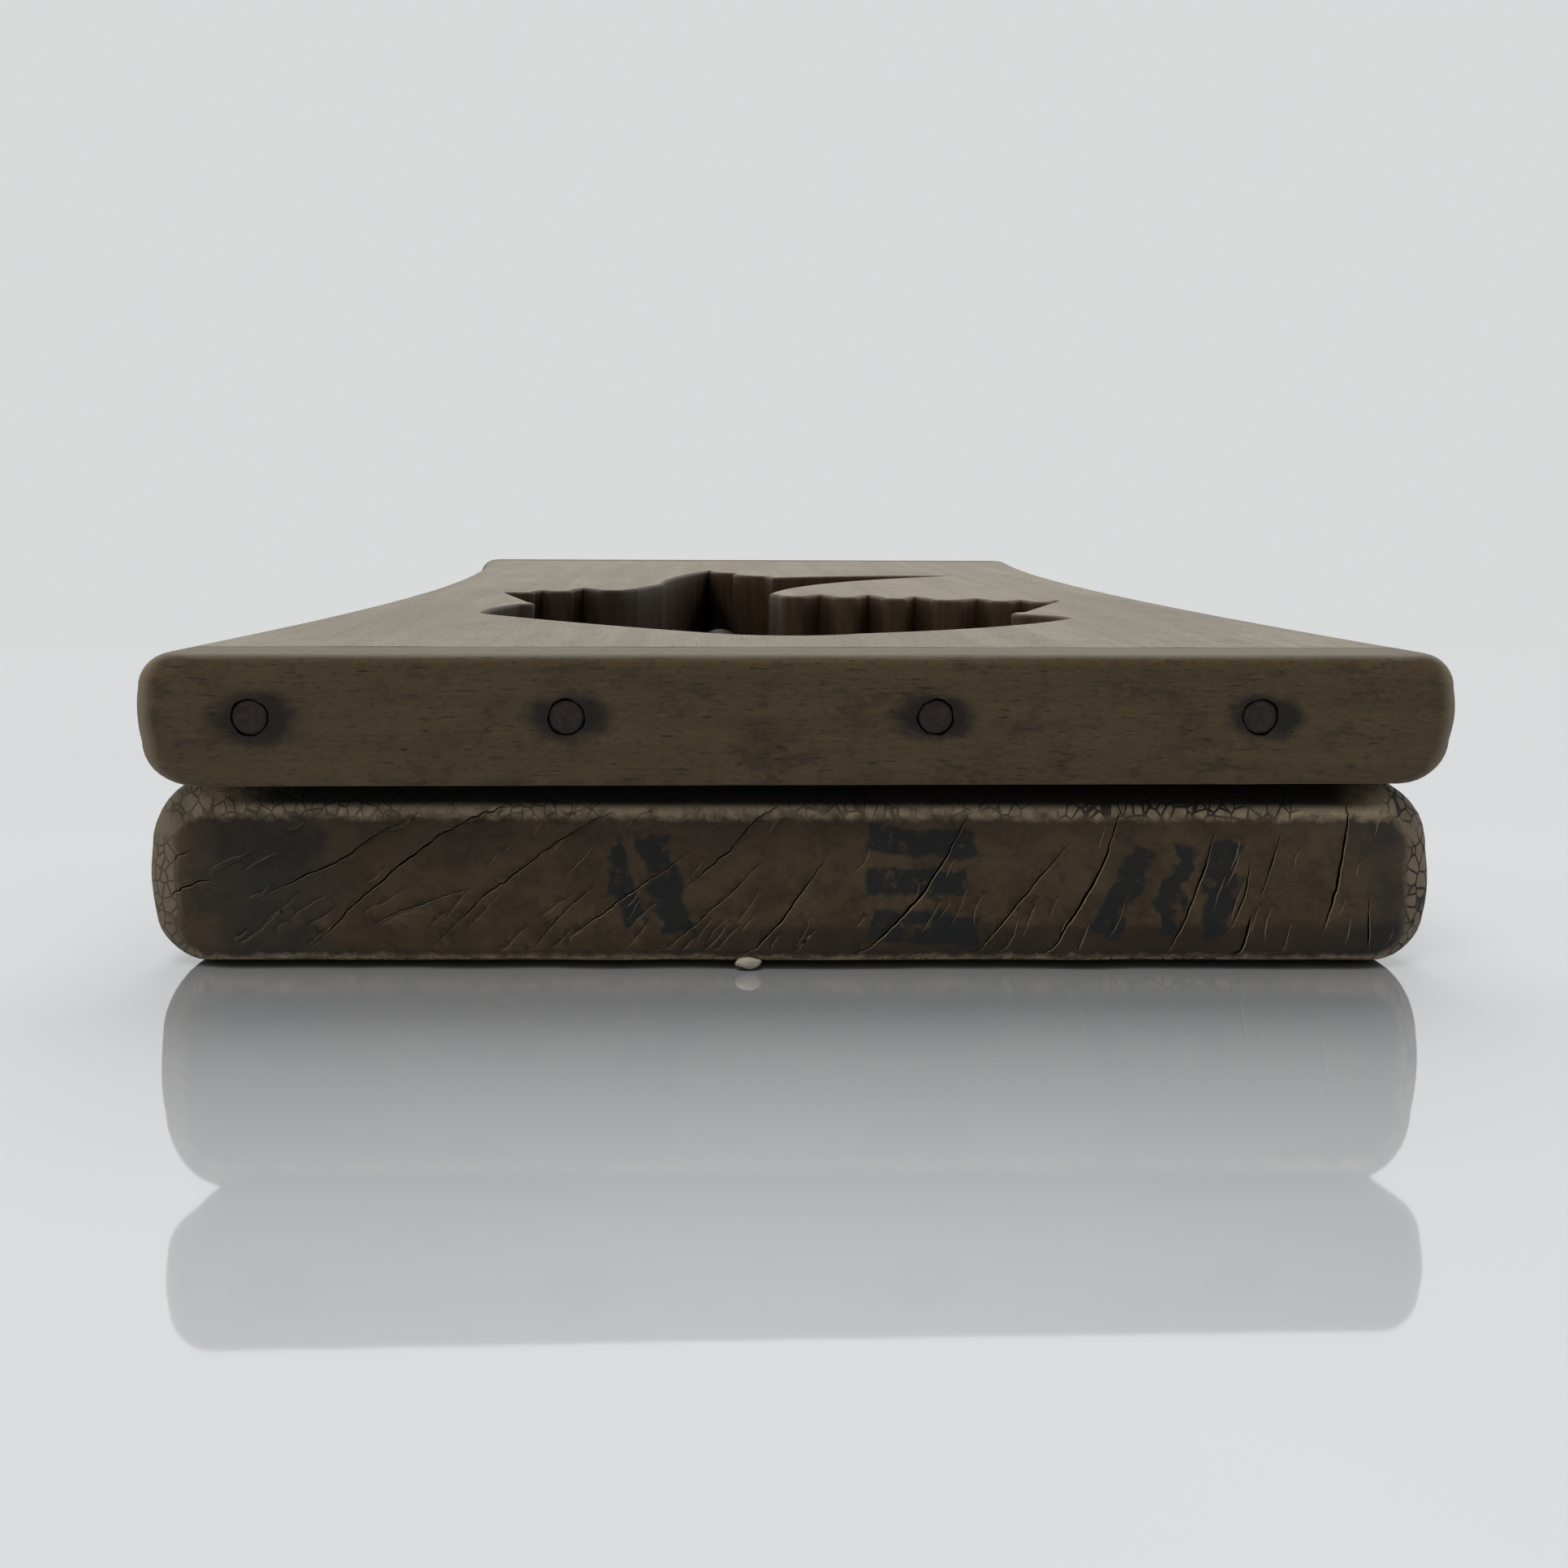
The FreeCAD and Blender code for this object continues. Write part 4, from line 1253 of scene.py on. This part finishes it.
class MOULD_OT_block(PieceOperator):
    """Make the carved block: worn ends, drying checks and the recess that the model carves"""

    bl_idname = "mould.block"
    bl_label = "Carved Block"

    def execute(self, context):
        sizes, colours = settings()
        end = {
            "plan": sizes.block_plan,
            "reach": sizes.block_reach,
            "top": sizes.block_arris,
            "foot": sizes.block_foot_arris,
        }
        block = Board(
            ((BLOCK_LOW[1], BLOCK_HIGH[1]), (BLOCK_LOW[2], FRAME_FOOT)),
            BLOCK_HIGH[0] + 0.35 * MM,
            (sizes.block_corner, sizes.block_foot_corner),
            end,
            end,
            skew=sizes.block_skew,
            swell=sizes.block_swell,
            bulge=0.3 * MM,
        ).build("block_wood")
        wear(block, 0.5 * MM, 14 * MM, 8)
        wear(block, 0.13 * MM, 7 * MM, 9)
        wood = block_material()
        recess = recess_material()
        # The checks' pale lips are partly pale broken wood and partly a painted highlight; their near-black
        # cores are painted shade.
        lip = plain_wood("check_lip_with_highlight", colours.lip, 0.8)
        core = plain_wood("check_core_shade", colours.dark, 0.95)
        give(block, wood, recess, lip, core)
        self.carve(block, wood, recess)
        tree = check_tree()
        fine = fine_checks()
        wedges = [
            check_wedges(block, CHECKS, tree, 1.05, 0.8, lip),
            check_wedges(block, fine, tree, 0.8, 1.0, lip),
            check_wedges(block, CHECKS, tree, 0.44, 8.0, core),
        ]
        for tool in wedges:
            combine(block, tool, "DIFFERENCE")
        smooth(block)
        carried(block, "block", "block_wood", "carved_block")
        return {"FINISHED"}

    def carve(self, block, wood, recess):
        """Puts the model's own carving into the worn block, within a box round the recess."""
        loop = plane_loop("carved_block", FRAME_FOOT, RECESS_REACH)
        corner_low = (*(loop.min(0) - CARVE_MARGIN), BLOCK_LOW[2] + CARVE_FOOT)
        corner_high = (*(loop.max(0) + CARVE_MARGIN), FRAME_FOOT + CARVE_ABOVE)
        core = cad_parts["carved_block"].data.copy()
        shape = bmesh.new()
        shape.from_mesh(core)
        bmesh.ops.remove_doubles(shape, verts=shape.verts, dist=0.001 * MM)
        shape.to_mesh(core)
        shape.free()
        carving = new_object("carving", core)
        give(carving, wood, recess)
        for face in core.polygons:
            face.material_index = 0 if abs(face.center.z - FRAME_FOOT) < 0.01 * MM else 1
        for obj, operation in ((carving, "INTERSECT"), (block, "DIFFERENCE")):
            box = box_tool(corner_low, corner_high)
            give(box, recess)
            combine(obj, box, operation)
        combine(block, carving, "UNION")


class MOULD_OT_nails(PieceOperator):
    """Make the eight round-headed iron nails"""

    bl_idname = "mould.nails"
    bl_label = "Nails"

    def execute(self, context):
        rows = []
        for node in FRAME_NAILS:
            low, high = node_box(node)
            x, _, z = middle(node)
            front = node.startswith("front")
            start = low[1] + 0.05 * MM if front else high[1] - 0.05 * MM
            rows.append(((x, start, z), (0, 1 if front else -1, 0)))
        values = {"Sides": 44, "Roughness": 0.12 * MM, "Grit": 1.1 / MM, "Material": iron_material()}
        nails = turned_pieces("iron_nails", rows, NAIL_RUN, values)
        carried(nails, "frame", "nail", *FRAME_NAILS)
        return {"FINISHED"}


class MOULD_OT_pegs(PieceOperator):
    """Make the four whittled bamboo pegs"""

    bl_idname = "mould.pegs"
    bl_label = "Pegs"

    def execute(self, context):
        rows = []
        for node in PEGS:
            low, _ = node_box(node)
            x, y, _ = middle(node)
            rows.append(((x, y, low[2]), (0, 0, 1)))
        values = {"Sides": 13, "Roughness": 0.1 * MM, "Grit": 0.5 / MM, "Material": bamboo_material()}
        pegs = turned_pieces("bamboo_pegs", rows, PEG_RUN, values)
        carried(pegs, "block", "peg", *PEGS)
        return {"FINISHED"}


class MOULD_OT_paste(PieceOperator):
    """Make the crumbs of dried paste on the block's front end"""

    bl_idname = "mould.paste"
    bl_label = "Dried Paste"

    def execute(self, context):
        face = BLOCK_LOW[1]
        crumbs = (((-7.6, 3.0, 1.1), (1.7, 0.8, 0.75), 4), ((11.8, 3.4, 22.6), (0.7, 0.5, 0.5), 9))
        shape = bmesh.new()
        for (x, y, z), size, seed in crumbs:
            made = bmesh.ops.create_icosphere(shape, subdivisions=3, radius=1.0)["verts"]
            for vertex in made:
                dent = 1 + 0.3 * noise.noise(vertex.co * 1.3 + Vector((seed, 0, 0)))
                place = Vector([vertex.co[k] * size[k] * dent for k in range(3)])
                vertex.co = (place + Vector((x, y, z))) * MM + Vector((0, face, 0))
        mesh = bpy.data.meshes.new("paste_crumbs")
        shape.to_mesh(mesh)
        shape.free()
        crumbs = new_object("paste_crumbs", mesh)
        give(crumbs, paste_material())
        smooth(crumbs, 60)
        carried(crumbs, "block", "block_wood")
        return {"FINISHED"}


# The stage: camera place in millimetres, tilt and turns in degrees, and the lens for a 36 mm sensor
CAMERA_PLACE = (-12.67, -386.56, 62.66)
CAMERA_PITCH = 9.562
CAMERA_YAW = 2.551
CAMERA_ROLL = 0.29
CAMERA_LENS = 38.83
# The brightest tone of the surround, in linear light
SURROUND_COLOUR = (0.69, 0.704, 0.706, 1.0)


class MOULD_OT_stage(PieceOperator):
    """Make the table, the soft lights, the pale surround and the camera"""

    bl_idname = "mould.stage"
    bl_label = "Stage"

    def execute(self, context):
        self.table()
        self.surround(context)
        self.light("overhead_window", (0.1, 0.75, 1.1), (0.0, 0.0, 0.0), 1.2, 17.0)
        self.light("front_fill", (-0.25, -0.7, 1.2), (0.0, -0.17, 0.02), 0.45, 6.0)
        self.camera(context)
        return {"FINISHED"}

    def table(self):
        """A wide table top whose far edge lies a little behind the mould."""
        half, near, far, thick = 1.4, -1.5, 0.33, 0.03
        corners = [(-half, near, 0), (half, near, 0), (half, far, 0), (-half, far, 0)]
        points = corners + [(x, y, -thick) for x, y, _ in corners]
        faces = [(0, 1, 2, 3), (7, 6, 5, 4), (0, 4, 5, 1), (1, 5, 6, 2), (2, 6, 7, 3), (3, 7, 4, 0)]
        table = mesh_object("table_top", points, faces)
        edge = table.modifiers.new("edge", "BEVEL")
        edge.width = 8 * MM
        edge.segments = 4
        bake_modifiers(table)
        give(table, table_material())
        smooth(table, 40)

    def surround(self, context):
        """A pale surround, bright behind and above the mould and dim on the camera's side."""
        world = bpy.data.worlds.new("pale_surround")
        context.scene.world = world
        world.use_nodes = True
        tree = world.node_tree
        tree.nodes.clear()
        way = add(tree, "ShaderNodeTexCoord").outputs["Generated"]
        parts = add(tree, "ShaderNodeSeparateXYZ", {0: way})
        # The part of the direction that counts, where it starts and ends, and the brightness there
        ramps = (("Y", -0.5, 0.45, 0.16, 1.0), ("Z", 0.2, 0.9, 0.0, 0.85))
        glows = []
        for axis, *levels in ramps:
            feeds = dict(zip(("From Min", "From Max", "To Min", "To Max"), levels), Value=parts.outputs[axis])
            glows.append(Wire(tree, add(tree, "ShaderNodeMapRange", feeds)))
        most = glows[0].most(glows[1])
        feeds = {0: most, 6: (0, 0, 0, 1), 7: SURROUND_COLOUR}
        tone = add(tree, "ShaderNodeMix", feeds, data_type="RGBA")
        glow = add(tree, "ShaderNodeBackground", {"Color": tone.outputs[2], "Strength": 1.0})
        add(tree, "ShaderNodeOutputWorld", {"Surface": glow})
        context.scene.view_settings.view_transform = "Standard"

    def light(self, name, place, target, size, power):
        """A soft square light that faces a target."""
        data = bpy.data.lights.new(name, "AREA")
        data.size = size
        data.energy = power
        lamp = bpy.data.objects.new(name, data)
        bpy.context.scene.collection.objects.link(lamp)
        lamp.visible_glossy = False
        lamp.location = place
        lamp.rotation_euler = (Vector(target) - Vector(place)).to_track_quat("-Z", "Y").to_euler()

    def camera(self, context):
        """The camera, low in front of the nailed end."""
        data = bpy.data.cameras.new("view")
        data.lens = CAMERA_LENS
        data.sensor_width = 36
        data.clip_start = 0.01
        camera = bpy.data.objects.new("view", data)
        context.scene.collection.objects.link(camera)
        camera.location = Vector(CAMERA_PLACE) * MM
        aim = Euler((math.radians(90 - CAMERA_PITCH), 0, math.radians(-CAMERA_YAW)), "XYZ")
        roll = Euler((0, 0, math.radians(CAMERA_ROLL)), "XYZ")
        camera.rotation_euler = (aim.to_matrix() @ roll.to_matrix()).to_euler()
        context.scene.camera = camera


class MOULD_PT_panel(bpy.types.Panel):
    """The mould's tools and values in the 3D view's sidebar"""

    bl_idname = "MOULD_PT_panel"
    bl_label = "Sweet Mould"
    bl_space_type = "VIEW_3D"
    bl_region_type = "UI"
    bl_category = "Sweet Mould"

    def draw(self, context):
        for operator in OPERATORS:
            self.layout.operator(operator.bl_idname)
        for group in (context.scene.mould_sizes, context.scene.mould_colours):
            box = self.layout.box()
            for name in group.__annotations__:
                box.prop(group, name)


OPERATORS = (
    MOULD_OT_frame_board,
    MOULD_OT_cleats,
    MOULD_OT_block,
    MOULD_OT_nails,
    MOULD_OT_pegs,
    MOULD_OT_paste,
    MOULD_OT_stage,
)
CLASSES = (MouldSizes, MouldColours, *OPERATORS, MOULD_PT_panel)


def register():
    for cls in CLASSES:
        bpy.utils.register_class(cls)
    bpy.types.Scene.mould_sizes = PointerProperty(type=MouldSizes)
    bpy.types.Scene.mould_colours = PointerProperty(type=MouldColours)


def unregister():
    del bpy.types.Scene.mould_sizes
    del bpy.types.Scene.mould_colours
    for cls in reversed(CLASSES):
        bpy.utils.unregister_class(cls)


def main():
    register()
    bpy.ops.mould.frame_board()
    bpy.ops.mould.cleats()
    bpy.ops.mould.block()
    bpy.ops.mould.nails()
    bpy.ops.mould.pegs()
    bpy.ops.mould.paste()
    bpy.ops.mould.stage()


if __name__ == "__main__":
    main()
